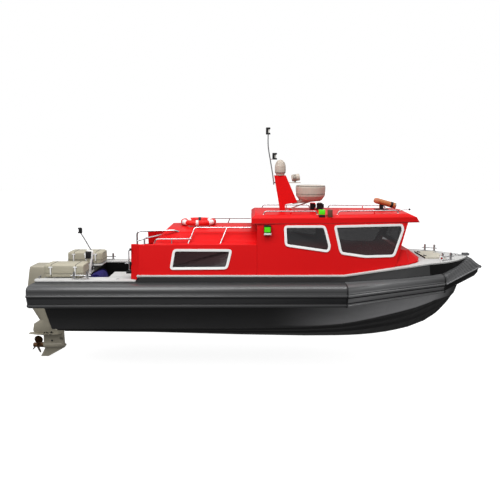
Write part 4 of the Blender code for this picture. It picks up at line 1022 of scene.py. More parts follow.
@dataclass
class Studio:
    """White floor, soft light and the camera at the photograph's angle."""

    camera_at: Point = (0.0, -12.86, 3.32)
    pitch: float = 81.06
    lens: float = 43.46
    sensor: float = 36.0
    floor_z: float = -1.095
    floor_size: float = 60.0
    horizon_light: float = 0.33
    zenith_light: float = 0.85
    ground_light: float = 0.18
    ground_edge: Span = (-0.1, 0.15)
    key_at: Point = (-4.0, -8.0, 8.5)
    key_power: float = 440.0
    key_size: float = 6.0
    back_at: Point = (6.0, 8.0, 9.0)
    back_power: float = 220.0
    strip_at: Point = (0.0, -3.2, 8.0)
    strip_power: float = 460.0
    strip_size: Span = (12.0, 1.6)
    aim_at: Point = (0.0, 0.0, 0.8)

    def build(self) -> None:
        """Make the floor, world, lights and camera."""
        self.build_floor()
        self.build_world()
        square = (self.key_size, self.key_size)
        self.build_lamp("key_light", self.key_at, self.key_power, square)
        self.build_lamp("back_light", self.back_at, self.back_power, square)
        self.build_lamp("strip_light", self.strip_at, self.strip_power, self.strip_size)
        self.build_camera()

    def build_floor(self) -> None:
        """Plain pale floor under the lifted hull."""
        bm = bmesh.new()
        matrix = Matrix.Translation((0.0, 0.0, self.floor_z))
        bmesh.ops.create_grid(bm, x_segments=1, y_segments=1, size=self.floor_size, matrix=matrix)
        mesh = bpy.data.meshes.new("floor")
        bm.to_mesh(mesh)
        bm.free()
        mesh.materials.append(FLOOR.material())
        floor = bpy.data.objects.new("floor", mesh)
        floor.visible_diffuse = False
        floor.visible_glossy = False
        bpy.context.scene.collection.objects.link(floor)

    def build_world(self) -> None:
        """White to the camera, with a light on the boat that fades below the horizon."""
        world = bpy.data.worlds.new("white_room")
        world.use_nodes = True
        sheet = NodeSheet(world.node_tree)
        shade = world.node_tree.nodes["Background"]
        shade.inputs["Color"].default_value = (1.0, 1.0, 1.0, 1.0)
        way = sheet.node("ShaderNodeTexCoord", output="Generated")
        height = sheet.node("ShaderNodeSeparateXYZ", inputs={0: way}, output=2)
        lift = height.between(0.0, 1.0) * (self.zenith_light - self.horizon_light)
        drop = (height * -1.0).between(*self.ground_edge) * (self.horizon_light - self.ground_light)
        seen = sheet.node("ShaderNodeLightPath", output="Is Camera Ray")
        room = lift - drop + self.horizon_light
        sheet.feed(shade.inputs["Strength"], room * (1 - seen) + seen)
        bpy.context.scene.world = world
        bpy.context.scene.view_settings.view_transform = "Standard"

    def build_lamp(self, name: str, at: Point, power: float, size: Span) -> None:
        """Add a soft light that looks at the boat.

        Args:
            name: Its name.
            at: Its place.
            power: Its power in watts.
            size: Lengths of its two sides.
        """
        lamp = bpy.data.lights.new(name, "AREA")
        lamp.energy = power
        lamp.shape = "RECTANGLE"
        lamp.size, lamp.size_y = size
        holder = bpy.data.objects.new(name, lamp)
        aim = Vector(self.aim_at) - Vector(at)
        holder.location = at
        holder.rotation_euler = aim.to_track_quat("-Z", "Y").to_euler()
        bpy.context.scene.collection.objects.link(holder)

    def build_camera(self) -> None:
        """Camera at the starboard side, a little above the roof."""
        data = bpy.data.cameras.new("camera")
        data.lens = self.lens
        data.sensor_width = self.sensor
        camera = bpy.data.objects.new("camera", data)
        camera.location = self.camera_at
        camera.rotation_euler = (math.radians(self.pitch), 0.0, 0.0)
        bpy.context.scene.collection.objects.link(camera)
        bpy.context.scene.camera = camera


@dataclass
class HullWork:
    """Hull, decks and the fittings that stand on them."""

    cleat_length: float = 0.16
    cleat_height: float = 0.038
    cleats: Sequence[tuple[float, float, float, float]] = (
        (-4.20, -1.02, 0.89, math.pi / 2),
        (-4.20, 1.02, 0.89, math.pi / 2),
        (4.40, 0.0, 1.18, 0.0),
    )
    latch_y: float = 0.24
    hinge_y: float = 0.22
    filler_at: Point = (-2.62, 1.12, 0.885)
    disc_at: Point = (3.90, -0.728, 1.245)
    roller_at: Point = (4.68, 0.0, 1.2083)
    rounding: float = 0.004

    def build(self) -> None:
        """Paint the hull and decks and add their fittings."""
        coat(HULL, "hull")
        for node in (*both("aft_deck"), "foredeck_and_gunwale"):
            dressed(node, DECK, Slot.DECK, rounding=self.rounding)
        coat(STEEL, *both("bollard_aft"), *both("bollard_fore"), "bow_roller")
        self.build_hatch()
        self.build_small_gear()

    def build_hatch(self) -> None:
        """Fore hatch with its rubber aft edge, latches and hinge plates."""
        lid = Shape(HATCH_TAN).taken("fore_hatch")
        lid.paint(RUBBER, lambda f: f.normal.x < -0.9 and f.calc_center_median().z < 1.22)
        lid.put("fore_hatch_skin", Slot.DECK, Body.HATCH, ("fore_hatch",), rounding=0.005)
        gear = Shape(BLACK)
        for y in (-self.latch_y, self.latch_y):
            gear.block((3.675, y - 0.035, 1.208), (3.735, y + 0.035, 1.222), 0.004)
            gear.use(STEEL).tube([(3.69, y - 0.03, 1.214), (3.69, y - 0.03, 1.236),
                                  (3.69, y + 0.03, 1.236), (3.69, y + 0.03, 1.214)], 0.004, 0.01)
            gear.use(BLACK)
        for y in (-self.hinge_y, self.hinge_y):
            gear.use(STEEL).block((4.02, y - 0.03, 1.208), (4.09, y + 0.03, 1.2155), 0.002)
        gear.put("fore_hatch_gear", Slot.BLACK, Body.HATCH)

    def add_cleat(self, shape: Shape, x: float, y: float, z: float, turn: float) -> None:
        """Add a horned cleat on two feet.

        Args:
            shape: Shape that it is added to.
            x: Middle of the cleat.
            y: Middle of the cleat.
            z: Surface that it stands on.
            turn: Heading in radians.
        """
        half = self.cleat_length / 2
        way = Vector((math.cos(turn), math.sin(turn), 0.0))
        foot = Vector((x, y, z - SINK))
        lift = Vector((0, 0, self.cleat_height))
        for share in (-0.45, 0.45):
            at = foot + way * half * share
            shape.rod(at, at + lift, 0.013, 0.009, 12)
        ends = [foot + lift + way * half * share + Vector((0, 0, up))
                for share, up in ((-1.0, 0.008), (-0.7, 0.0), (0.7, 0.0), (1.0, 0.008))]
        shape.tube(ends, 0.009, 0.02, 10)

    def build_small_gear(self) -> None:
        """Cleats, fillers, the disc on the foredeck and the tread of the bow roller."""
        gear = Shape(STEEL)
        for x, y, z, turn in self.cleats:
            self.add_cleat(gear, x, y, z, turn)
        x, y, z = self.filler_at
        for side, _ in SIDES:
            gear.rod((x, y * side, z), (x, y * side, z + 0.012), 0.032, 0.030)
        gear.use(WHITE).rod((3.90, -0.74, 1.178), (3.90, -0.74, 1.215), 0.018, 0.014)
        rim = [(0.0, 0.0), (0.040, 0.0), (0.046, 0.010), (0.040, 0.024), (0.0, 0.024)]
        gear.turned(rim, self.disc_at, (0, -1, 0), 24)
        knob = [(0.0, 0.0), (0.020, 0.0), (0.020, 0.028), (0.0, 0.030)]
        gear.use(RED_DEEP).turned(knob, self.disc_at, (0, -1, 0), 20)
        cover = Shape(RUBBER).turned(
            [(0.0, -0.031), (0.0205, -0.031), (0.0190, -0.010), (0.0190, 0.010), (0.0205, 0.031),
             (0.0, 0.031)], self.roller_at, (0, 1, 0), 24)
        gear.put("deck_fittings", Slot.STEEL)
        cover.put("roller_tread", Slot.BLACK)


@dataclass
class CollarWork:
    """Foam collar: skins with painted light on their tops and undersides, joint bands, grooves in
    painted shade, and the bow's ribs and ridge with a painted highlight.
    """

    # Face normals that pick the painted top highlight and the underside tone.
    top_from: float = 0.55
    under_from: float = -0.12
    joints: Sequence[tuple[str, float]] = (("collar_aft", 1.862), ("collar_fore", 3.858))
    band_width: float = 0.03
    band_rise: float = 0.002
    rib_width: float = 0.022
    rib_rise: float = 0.004
    rib_step: float = 4.8
    ribs_a_side: int = 15
    rib_top_from: float = 0.35
    rib_pivot: Point = (3.35, 0.0, 0.9)
    ridge_start: Point = (3.874, 1.212, 0.802)
    ridge_nose: Point = (4.921, 0.180, 0.966)
    bead_radius: float = 0.013
    pad_radius: float = 0.026
    groove_radius: float = 0.009
    groove_lines: Sequence[Sequence[Point]] = (
        ((-4.255, 1.622, 0.681), (1.878, 1.620, 0.681), (3.870, 1.191, 0.829)),
        ((-4.255, 1.617, 0.606), (1.878, 1.613, 0.609), (3.870, 1.186, 0.764)),
        ((-4.255, 1.588, 0.492), (1.876, 1.583, 0.500), (3.870, 1.156, 0.680)),
    )

    def build(self) -> None:
        """Dress the collar's lengths and add its bands, ribs and ridge."""
        # Painted light: tones by which way each face points, with the fore lengths lit paler from
        # the bow.
        aft = (COLLAR_TOP_HIGHLIGHT, COLLAR, COLLAR_UNDERSIDE_SHADING)
        fore = (COLLAR_FORE, COLLAR_FORE, COLLAR_FORE_UNDERSIDE_LIT)
        for stem, tones in (("collar_aft", aft), ("collar_fore", fore)):
            for node in both(stem):
                self.build_skin(node, tones)
        # The bow collar's underside takes painted shade.
        self.build_skin("collar_bow", (COLLAR_BOW, COLLAR_BOW, COLLAR_SEAM_AND_SHADE))
        self.build_joints()
        self.build_ribs()
        self.build_grooves()
        self.build_ridge()

    def build_skin(self, node: str, tones: tuple[Finish, Finish, Finish]) -> None:
        """Skin of one length of the collar, with painted light: its upward and downward faces take
        their own tones.

        Args:
            node: Length that it covers.
            tones: Finishes of its top, its sides and its underside.
        """
        top, side, under = tones
        skin = Shape(side).taken(node)
        if top is not side:
            skin.paint(top, lambda f: f.normal.z > self.top_from)
        if under is not side:
            skin.paint(under, lambda f: f.normal.z < self.under_from)
        skin.put(f"{node}_skin", Slot.COLLAR, stands_for=(node,))

    def build_grooves(self) -> None:
        """Painted shade: dark lines along the grooves of the side lengths, above and below their
        bead.
        """
        grooves = Shape(COLLAR_SEAM_AND_SHADE)
        for side in (-1, 1):
            for line in self.groove_lines:
                spots = [mirrored(spot, side) for spot in line]
                for start, end in zip(spots, spots[1:]):
                    grooves.rod(start, end, self.groove_radius, sides=8)
        grooves.put("collar_grooves", Slot.COLLAR)

    def build_ridge(self) -> None:
        """Bead along the bow collar's ridge, pale as a painted highlight, with the black pad at its
        nose.
        """
        ridge = Shape(COLLAR_RIDGE_HIGHLIGHT)
        for side in (-1, 1):
            start, end = mirrored(self.ridge_start, side), mirrored(self.ridge_nose, side)
            ridge.rod(start, end, self.bead_radius, sides=12)
        ridge.use(BLACK)
        x, y, z = self.ridge_nose
        ridge.tube([(x - 0.02, -y - 0.02, z), (x + 0.004, -y + 0.01, z),
                    (x + 0.004, y - 0.01, z), (x - 0.02, y + 0.02, z)], self.pad_radius, 0.02, 16)
        ridge.put("bow_collar_ridge", Slot.COLLAR)

    def build_joints(self) -> None:
        """Bands glued over the collar's joints."""
        bands = Shape(COLLAR_SEAM_AND_SHADE)
        for stem, x in self.joints:
            for node in both(stem):
                bands.girdle(node, (x, 0, 0), (1, 0, 0), self.band_width, self.band_rise)
        bands.put("collar_bands", Slot.COLLAR)

    def build_ribs(self) -> None:
        """Fine ribs across the bow collar's upper face."""
        ribs = Shape(COLLAR_BOW)
        pivot = Vector(self.rib_pivot)
        for step in range(-self.ribs_a_side, self.ribs_a_side + 1):
            heading = math.radians(step * self.rib_step)
            out = Vector((math.cos(heading), math.sin(heading), 0.0))
            across = Vector((-out.y, out.x, 0.0))
            ribs.girdle(
                "collar_bow", pivot, across, self.rib_width, self.rib_rise,
                lambda f, out=out: f.normal.z > self.rib_top_from
                and (f.calc_center_median() - pivot).dot(out) > 0,
            )
        ribs.put("bow_collar_ribs", Slot.COLLAR)


@dataclass
class HouseWork:
    """Red superstructure, its roof gear and its rails."""

    edge: float = 0.010
    lamp_y: Span = (0.842, 0.958)
    lamp_x: Span = (1.367, 1.488)
    rail_runs: Sequence[tuple[float, float, float, float]] = (
        (0.27, 0.80, 1.35, 0.775),
        (1.76, 0.755, 3.02, 0.600),
    )
    rail_z: float = 2.205
    rail_radius: float = 0.0125
    ridge_z: float = 2.175
    roof_fall: float = 0.035
    roof_half: float = 0.835
    sensor_y: float = -0.30
    wing_y: float = -1.085
    gutter_z: float = 1.982

    def build(self) -> None:
        """Dress the cabin, wheelhouse, roof and trunk."""
        for node in ("aft_cabin", "wheelhouse", "wheelhouse_roof", "fore_trunk"):
            dressed(node, RED, Slot.RED, rounding=self.edge)
        coat(STEEL, "hoop_rail", *both("trunk_rail"))
        self.build_roof_lamps()
        self.build_roof_rails()
        self.build_aerial()
        self.build_wing_gear()
        self.build_brow_trim()

    def build_roof_lamps(self) -> None:
        """Coloured covers on the lamps set in the roof's edge."""
        caps = Shape(BLACK)
        aft, fore = self.lamp_x
        for side, _ in SIDES:
            inner, outer = (y * side for y in self.lamp_y)
            caps.use(BROWN_BOX).block((1.545, inner, 2.10), (1.635, outer, 2.249), 0.008)
            caps.use(BLACK).block((aft, inner, 2.10), (fore, outer, 2.150), 0.005)
            caps.use(RED_LENS if side > 0 else GREEN)
            caps.block((aft, inner, 2.152), (fore, outer, 2.249), 0.010)
        caps.put("roof_edge_lamps", Slot.BLACK)

    def build_roof_rails(self) -> None:
        """Stainless tubes of the low roof rails, with their feet."""
        rails = Shape(STEEL)
        for side, _ in SIDES:
            for x0, y0, x1, y1 in self.rail_runs:
                feet = [self.ridge_z - self.roof_fall * y / self.roof_half for y in (y0, y1)]
                run = [(x0, y0 * side, feet[0] - 0.004), (x0 + 0.03, y0 * side, self.rail_z),
                       (x1 - 0.03, y1 * side, self.rail_z), (x1, y1 * side, feet[1] - 0.004)]
                rails.tube(run, self.rail_radius, 0.04)
                for x, y, z in ((x0, y0, feet[0]), (x1, y1, feet[1])):
                    rails.rod((x, y * side, z - 0.003), (x, y * side, z + 0.007), 0.024, 0.020)
        rails.put("roof_rails", Slot.STEEL)

    def build_aerial(self) -> None:
        """Short tube with a ball at the roof's front edge."""
        y = self.sensor_y
        aerial = Shape(BLACK)
        aerial.rod((3.10, y, 2.145), (3.10, y, 2.180), 0.022, 0.014)
        aerial.use(STEEL).tube([(3.10, y, 2.165), (3.16, y, 2.190), (3.31, y, 2.200)], 0.007, 0.03)
        ball = [(0.0, -0.022), (0.014, -0.017), (0.022, 0.0), (0.014, 0.017), (0.0, 0.022)]
        aerial.use(BLACK).turned(ball, (3.325, y, 2.201), (1, 0, 0.1), 16)
        aerial.put("roof_sensor", Slot.BLACK)

    def build_wing_gear(self) -> None:
        """Grab tube and lever on the starboard wing wall's aft edge."""
        y = self.wing_y
        gear = Shape(STEEL)
        gear.tube([(-2.345, y, 1.04), (-2.395, y, 1.06), (-2.395, y, 1.46), (-2.345, y, 1.48)],
                  0.011, 0.03)
        gear.tube([(-2.385, y, 1.21), (-2.43, y, 1.205), (-2.475, y, 1.20)], 0.009, 0.01)
        gear.use(BLACK)
        for z in (1.02, 1.18, 1.455):
            gear.block((-2.38, y - 0.02, z), (-2.345, y + 0.02, z + 0.045), 0.003)
        gear.block((-2.455, y - 0.03, 0.998), (-2.350, y + 0.02, 1.045), 0.005)
        gear.put("wing_grab_tube", Slot.STEEL)

    def build_brow_trim(self) -> None:
        """Dark red gutter strip along the roof's lower edge."""
        strip = Shape(RED_DEEP)
        strip.girdle("wheelhouse_roof", (0, 0, self.gutter_z), (0, 0, 1), 0.016, 0.004,
                     lambda f: abs(f.normal.z) < 0.6)
        strip.put("roof_gutter", Slot.RED)


@dataclass
class GlazingWork:
    """Framed panes that replace the plain window plates."""

    rim: float = 0.050
    bead: float = 0.010
    recess: float = 0.005
    wiper_y: float = 0.33
    wiper_reach: float = 0.24

    def build(self) -> None:
        """Make each window and the windscreen's wipers."""
        self.build_pane("windscreen")
        for key in ("aft", "middle", "fore"):
            for node in both(f"window_{key}"):
                self.build_pane(node)
        self.build_wipers()

    def build_pane(self, node: str) -> None:
        """Turn one plate into a white frame, a rubber bead and recessed glass.

        Args:
            node: CAD node of the plate.
        """
        pane = Shape(WHITE).taken(node)
        pane.use(RUBBER)
        rubber = pane.current
        pane.use(GLASS)
        for face in sorted(pane.bm.faces, key=lambda f: -f.calc_area())[:2]:
            bmesh.ops.inset_region(pane.bm, faces=[face], thickness=self.rim,
                                   use_even_offset=True)
            ring = bmesh.ops.inset_region(pane.bm, faces=[face], thickness=self.bead,
                                          depth=-self.recess, use_even_offset=True)
            for made in ring["faces"]:
                made.material_index = rubber
            face.material_index = pane.current
        pane.put(f"{node}_framed", Slot.GLASS, stands_for=(node,), rounding=0.003)

    def build_wipers(self) -> None:
        """Two parked wipers on the windscreen."""
        low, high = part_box("windscreen")
        wipers = Shape(BLACK)
        slope = (high[0] - low[0]) / (high[2] - low[2])
        for y in (-self.wiper_y, self.wiper_y):
            foot = Vector((low[0] + 0.02, y, low[2] + 0.015))
            tip = foot + Vector((self.wiper_reach * slope, 0.20, self.wiper_reach))
            proud = Vector((0.022, 0, 0))
            wipers.rod(foot - proud * 0.6, foot + proud, 0.014)
            wipers.tube([foot + proud, tip + proud], 0.005)
            blade = Vector((0.0, 0.035, 0.18)).normalized() * 0.19
            lean = Vector((blade.z * slope, blade.y, blade.z))
            wipers.tube([tip + proud - lean, tip + proud * 0.8 + lean], 0.006)
        wipers.put("wipers", Slot.BLACK)


@dataclass
class DoorWork:
    """Cabin door with its pane, lever and hinge barrels."""

    panel_depth: float = 0.0563
    lever_y: float = -0.26
    lever_z: float = 0.96
    hinge_y: float = 0.35
    hinge_heights: Sequence[float] = (0.55, 0.94, 1.33)

    def build(self) -> None:
        """Dress the door leaf and add its furniture."""
        dressed("aft_door", RED, Slot.RED, Body.DOOR, rounding=0.004)
        low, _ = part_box("aft_door")
        gear = Shape(WHITE)
        face = low[0] + self.panel_depth
        gear.block((face - 0.010, -0.19, 1.06), (face + 0.004, 0.21, 1.43), 0.004)
        gear.use(GLASS).block((face - 0.0125, -0.155, 1.095), (face, 0.175, 1.395), 0.002)
        y, z = self.lever_y, self.lever_z
        gear.use(STEEL).rod((face - 0.020, y, z), (face + 0.004, y, z), 0.024)
        gear.tube([(face - 0.014, y, z), (face - 0.046, y, z), (face - 0.046, -0.155, 0.955)],
                  0.008, 0.015)
        gear.use(BLACK)
        for z in self.hinge_heights:
            gear.rod((face, self.hinge_y, z - 0.045), (face, self.hinge_y, z + 0.045), 0.0145)
        gear.put("door_gear", Slot.GLASS, Body.DOOR)


@dataclass
class AftDeckWork:
    """Rafts, stern light, cockpit locker and the covered seat."""

    raft_y: float = 0.80
    raft_half: float = 0.24
    seam_z: float = 0.995
    strap_spots: Span = (-3.975, -3.485)
    clasp_x: float = -3.70
    post_y: float = -0.40
    deck_z: float = 0.8603
    pull_at: Span = (-2.40, -0.42)
    cover_shrink: float = 0.965
    piping_radius: float = 0.006
    voxel: float = 0.010
    cloth_pressure: float = 4.0
    cloth_frames: int = 20
    cloth_cap: float = 0.014

    def build(self) -> None:
        """Dress everything that stands abaft the cabin."""
        for node in both("life_raft"):
            dressed(node, RAFT, Slot.RAFT, rounding=0.008, smooth=28.0)
        self.build_raft_gear()
        self.build_stern_lamp()
        dressed("cockpit_locker", DECK_PLAIN, Slot.DECK, rounding=0.004)
        self.build_lid()
        self.build_seat()

    def build_raft_gear(self) -> None:
        """Seam lips, clips and hold-down straps of the canisters."""
        gear = Shape(RAFT)
        for side, name in SIDES:
            node = f"life_raft_{name}"
            seam = (0, 0, self.seam_z)
            gear.use(RAFT).girdle(node, seam, (0, 0, 1), 0.022, 0.007)
            gear.use(ENGINE_TRIM_AND_SHADE).girdle(node, seam, (0, 0, 1), 0.004, 0.009)
            aft, fore = self.strap_spots
            for x in (aft, self.clasp_x, fore):
                strapped = x != self.clasp_x
                if strapped:
                    gear.use(ENGINE_TRIM_AND_SHADE)
                    gear.girdle(node, (x + 0.012, 0, 0), (1, 0, 0), 0.012, 0.003,
                                lambda f: f.calc_center_median().z > 1.10 or abs(f.normal.z) < 0.2)
                gear.use(WHITE)
                for face in ((-1, 1) if strapped else (-side,)):
                    wall = self.raft_y * side + face * self.raft_half
                    inner, outer = wall - 0.004 * face, wall + 0.016 * face
                    gear.block((x - 0.013, inner, 0.96), (x + 0.013, outer, 1.105), 0.003)
                    gear.block((x - 0.038, inner, 1.098), (x + 0.038, outer, 1.124), 0.004)
        gear.put("raft_gear", Slot.RAFT)

    def build_stern_lamp(self) -> None:
        """Hooked white post with its stays, grey pole, black lamp and junction box."""
        y, deck = self.post_y, self.deck_z
        post = Shape(PAINTED_POST)
        hook = [(-3.375, y, deck + 0.004), (-3.290, y, 1.335), (-3.41, y, 1.345)]
        post.tube(hook, 0.0245, 0.04, 16)
        post.block((-3.415, y - 0.07, deck), (-3.335, y + 0.07, deck + 0.008), 0.002)
        post.use(STEEL).block((-3.415, -0.26, deck), (-3.335, -0.07, deck + 0.008), 0.002)
        for x, foot, top in ((-3.355, -0.11, 1.29), (-3.380, -0.21, 1.27)):
            post.tube([(x, foot, deck + 0.004), (-3.305, y, top)], 0.010)
        post.tube([(-3.30, y, 1.32), (-3.45, y, 1.60), (-3.52, y, 1.72)], 0.0135, 0.04)
        post.use(BLACK).block((-3.447, y - 0.035, 1.178), (-3.322, y + 0.055, 1.322), 0.006)
        post.use(WHITE).block((-3.452, y - 0.040, 1.20), (-3.430, y - 0.030, 1.31), 0.002)
        post.use(BLACK)
        add_lamp(post, (-3.535, y, 1.716), 0.113, 0.042, 1)
        post.block((-3.556, y - 0.035, 1.735), (-3.497, y + 0.035, 1.822), 0.006)
        post.tube([(-3.58, y, 1.722), (-3.50, y, 1.724)], 0.008)
        post.put("stern_light_skin", Slot.STEEL, stands_for=("stern_light",))

    def build_lid(self) -> None:
        """Locker lid with its pull ring."""
        dressed("locker_lid", DECK, Slot.DECK, Body.LID, rounding=0.005)
        gear = Shape(STEEL)
        x, y = self.pull_at
        gear.rod((x, y, 0.886), (x, y, 0.8935), 0.032)
        gear.torus((x, y, 0.895), (0, 0, 1), 0.020, 0.0032, 24, 8)
        gear.put("lid_pull", Slot.STEEL, Body.LID)

    def build_seat(self) -> None:
        """Blue cover over the cockpit seat, swollen by a short cloth run, and its piping."""
        cover = Shape(BLUE).taken("cockpit_seat")
        low, high = (Vector(corner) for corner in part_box("cockpit_seat"))
        middle = (low + high) / 2
        piping = Shape(BLUE_SEAM)
        for vert in cover.bm.verts:
            vert.co = middle + (vert.co - middle) * self.cover_shrink
        cover.bm.normal_update()
        for face in cover.bm.faces:
            if abs(face.normal.y) > 0.9:
                corners = [vert.co.copy() for vert in face.verts]
                piping.tube([*corners, corners[0]], self.piping_radius, 0.01, 8)
        obj = cover.put("cockpit_seat_cover", Slot.BLUE, stands_for=("cockpit_seat",), smooth=70.0)
        self.swell(obj)
        piping.put("cockpit_seat_piping", Slot.BLUE)

    def swell(self, obj: bpy.types.Object) -> None:
        """Swell a closed pad by a short cloth run with a cap on how far it moves.

        Args:
            obj: Pad that is remeshed and swollen.
        """
        remesh = obj.modifiers.new("remesh", "REMESH")
        remesh.mode = "VOXEL"
        remesh.voxel_size = self.voxel
        settle_modifiers(obj)
        start = [vert.co.copy() for vert in obj.data.vertices]
        cloth = obj.modifiers.new("cloth", "CLOTH")
        cloth.settings.use_pressure = True
        cloth.settings.uniform_pressure_force = self.cloth_pressure
        cloth.settings.effector_weights.gravity = 0.0
        scene = bpy.context.scene
        for number in range(1, self.cloth_frames + 1):
            scene.frame_set(number)
        settle_modifiers(obj)
        scene.frame_set(1)
        for vert, origin in zip(obj.data.vertices, start):
            moved = vert.co - origin
            if moved.length > self.cloth_cap:
                vert.co = origin + moved.normalized() * self.cloth_cap
        obj.data.shade_smooth()


@dataclass
class MastWork:
    """Mast with its radar, dome, floodlight and lamps; horns and searchlight on the roof."""

    seams: Sequence[tuple[str, Finish, float, float, float]] = (
        ("radar", ENGINE_TRIM_AND_SHADE, 2.676, 0.008, 0.003),
        ("radar", ENGINE_TRIM_AND_SHADE, 2.510, 0.008, 0.003),
        # Foot ring: painted red reflection on the radar's lower part.
        ("radar", RADAR_RED_REFLECTION, 2.390, 0.024, 0.003),
        ("satellite_dome", ENGINE_TRIM_AND_SHADE, 2.958, 0.006, 0.002),
    )
    flood_ends: Sequence[Point] = ((0.885, 0.0, 2.835), (1.040, 0.0, 2.860))
    flood_radius: float = 0.0725
    pole_radius: float = 0.012
    lamp_spots: Sequence[tuple[float, float, float, float]] = (
        (0.380, 3.745, 3.890, 0.047),
        (0.520, 3.225, 3.365, 0.050),
    )
    horn_spots: Sequence[Point] = ((1.372, 2.250, 0.040), (1.542, 2.245, 0.052))
    searchlight_ends: Sequence[Point] = ((2.68, 0.0, 2.365), (3.10, 0.0, 2.250))

    def build(self) -> None:
        """Dress the mast and everything high on the roof."""
        mast = Shape(RED).taken("mast")
        mast.paint(DOME, self.is_bracket)
        mast.put("mast_skin", Slot.RED, stands_for=("mast",), rounding=0.005)
        coat(DOME, "radar", "satellite_dome")
        coat(BLACK, "horns")
        light = Shape(LAMP_BROWN).taken("searchlight")
        light.paint(BLACK, lambda f: f.calc_center_median().z < 2.24 and abs(f.normal.z) < 0.95
                    or f.calc_center_median().z < 2.2)
        light.put("searchlight_skin", Slot.BROWN, stands_for=("searchlight",))
        self.build_radar_trim()
        self.build_flood()
        self.build_lamps()
        self.build_horns()
        self.build_searchlight()

    @staticmethod
    def is_bracket(face: bmesh.types.BMFace) -> bool:
        """Whether a face of the mast belongs to its radar or floodlight bracket."""
        spot = face.calc_center_median()
        return (spot.x > 0.90 and spot.z < 2.40) or (spot.x > 0.82 and spot.z > 2.70)

    def build_radar_trim(self) -> None:
        """Dark rim lines and reddish foot ring of the radar, the ring's colour a painted
        reflection, and the dome's seam.
        """
        trim = Shape(ENGINE_TRIM_AND_SHADE)
        for node, finish, z, width, rise in self.seams:
            trim.use(finish).girdle(node, (0, 0, z), (0, 0, 1), width, rise)
        trim.put("radar_trim", Slot.DOME)

    def build_flood(self) -> None:
        """Floodlight housing with its fins and lens."""
        flood = Shape(DOME)
        radius = self.flood_radius
        tail, nose = (Vector(end) for end in self.flood_ends)
        way = (nose - tail).normalized()
        flood.turned([(0.0, -0.006), (0.050, -0.004), (radius, 0.012), (radius, 0.158),
                      (0.066, 0.164), (0.0, 0.164)], tail, way, 28)
        flood.use(BLACK)
        for step in range(4):
            flood.torus(tail + way * (0.030 + step * 0.018), way, radius, 0.0035, 28, 8)
        glass = [(0.0, 0.160), (0.058, 0.162), (0.050, 0.168), (0.0, 0.170)]
        flood.use(CLEAR_LENS).turned(glass, tail, way, 28)
        flood.put("flood_head", Slot.DOME)

    def build_lamps(self) -> None:
        """Pole with its clip, arm and two lamps."""
        pole = Shape(STEEL)
        pole.tube([(0.505, 0.0, 2.70), (0.480, 0.0, 2.92), (0.378, 0.0, 3.50), (0.380, 0.0, 3.76)],
                  self.pole_radius, 0.2)
        pole.tube([(0.42, 0.0, 3.235), (0.52, 0.0, 3.235)], 0.009)
        pole.block((0.49, -0.02, 2.73), (0.5345, 0.02, 2.76), 0.003)
        pole.use(BLACK)
        for x, low, high, radius in self.lamp_spots:
            add_lamp(pole, (x, 0.0, low), high - low, radius, -1)
        pole.put("masthead_lights_skin", Slot.STEEL, stands_for=("masthead_lights",))

    def build_horns(self) -> None:
        """Mouths of the two horns."""
        mouths = Shape(BLACK)
        for x, z, radius in self.horn_spots:
            mouths.turned([(0.0, 0.0), (radius * 0.5, 0.0), (radius * 0.9, 0.016), (radius, 0.026),
                           (radius * 0.92, 0.029), (radius * 0.45, 0.012), (0.0, 0.010)],
                          (x, 0.0, z), (1, 0, 0), 24)
        mouths.put("horn_mouths", Slot.BLACK)

    def build_searchlight(self) -> None:
        """Rounded back, black band, bezel and glass of the searchlight."""
        light = Shape(LAMP_SALMON)
        tail, nose = (Vector(end) for end in self.searchlight_ends)
        way = (nose - tail).normalized()
        reach = (nose - tail).length
        back = [(0.0, -0.044), (0.030, -0.040), (0.052, -0.018), (0.0625, 0.020),
                (0.0625, 0.060), (0.0, 0.060)]
        band = [(0.0, 0.0), (0.0635, 0.0), (0.0635, 0.05), (0.0, 0.05)]
        bezel = [(0.050, 0.0), (0.0645, 0.0), (0.0645, 0.022), (0.056, 0.026), (0.050, 0.020),
                 (0.050, 0.0)]
        glass = [(0.0, 0.0), (0.054, 0.0), (0.050, 0.008), (0.0, 0.012)]
        for finish, outline, along in ((LAMP_SALMON, back, 0.0), (BLACK, band, reach - 0.115),
                                       (STEEL, bezel, reach - 0.018),
                                       (CLEAR_LENS, glass, reach - 0.004)):
            light.use(finish).turned(outline, tail + way * along, way, 28)
        light.put("searchlight_trim", Slot.BROWN)


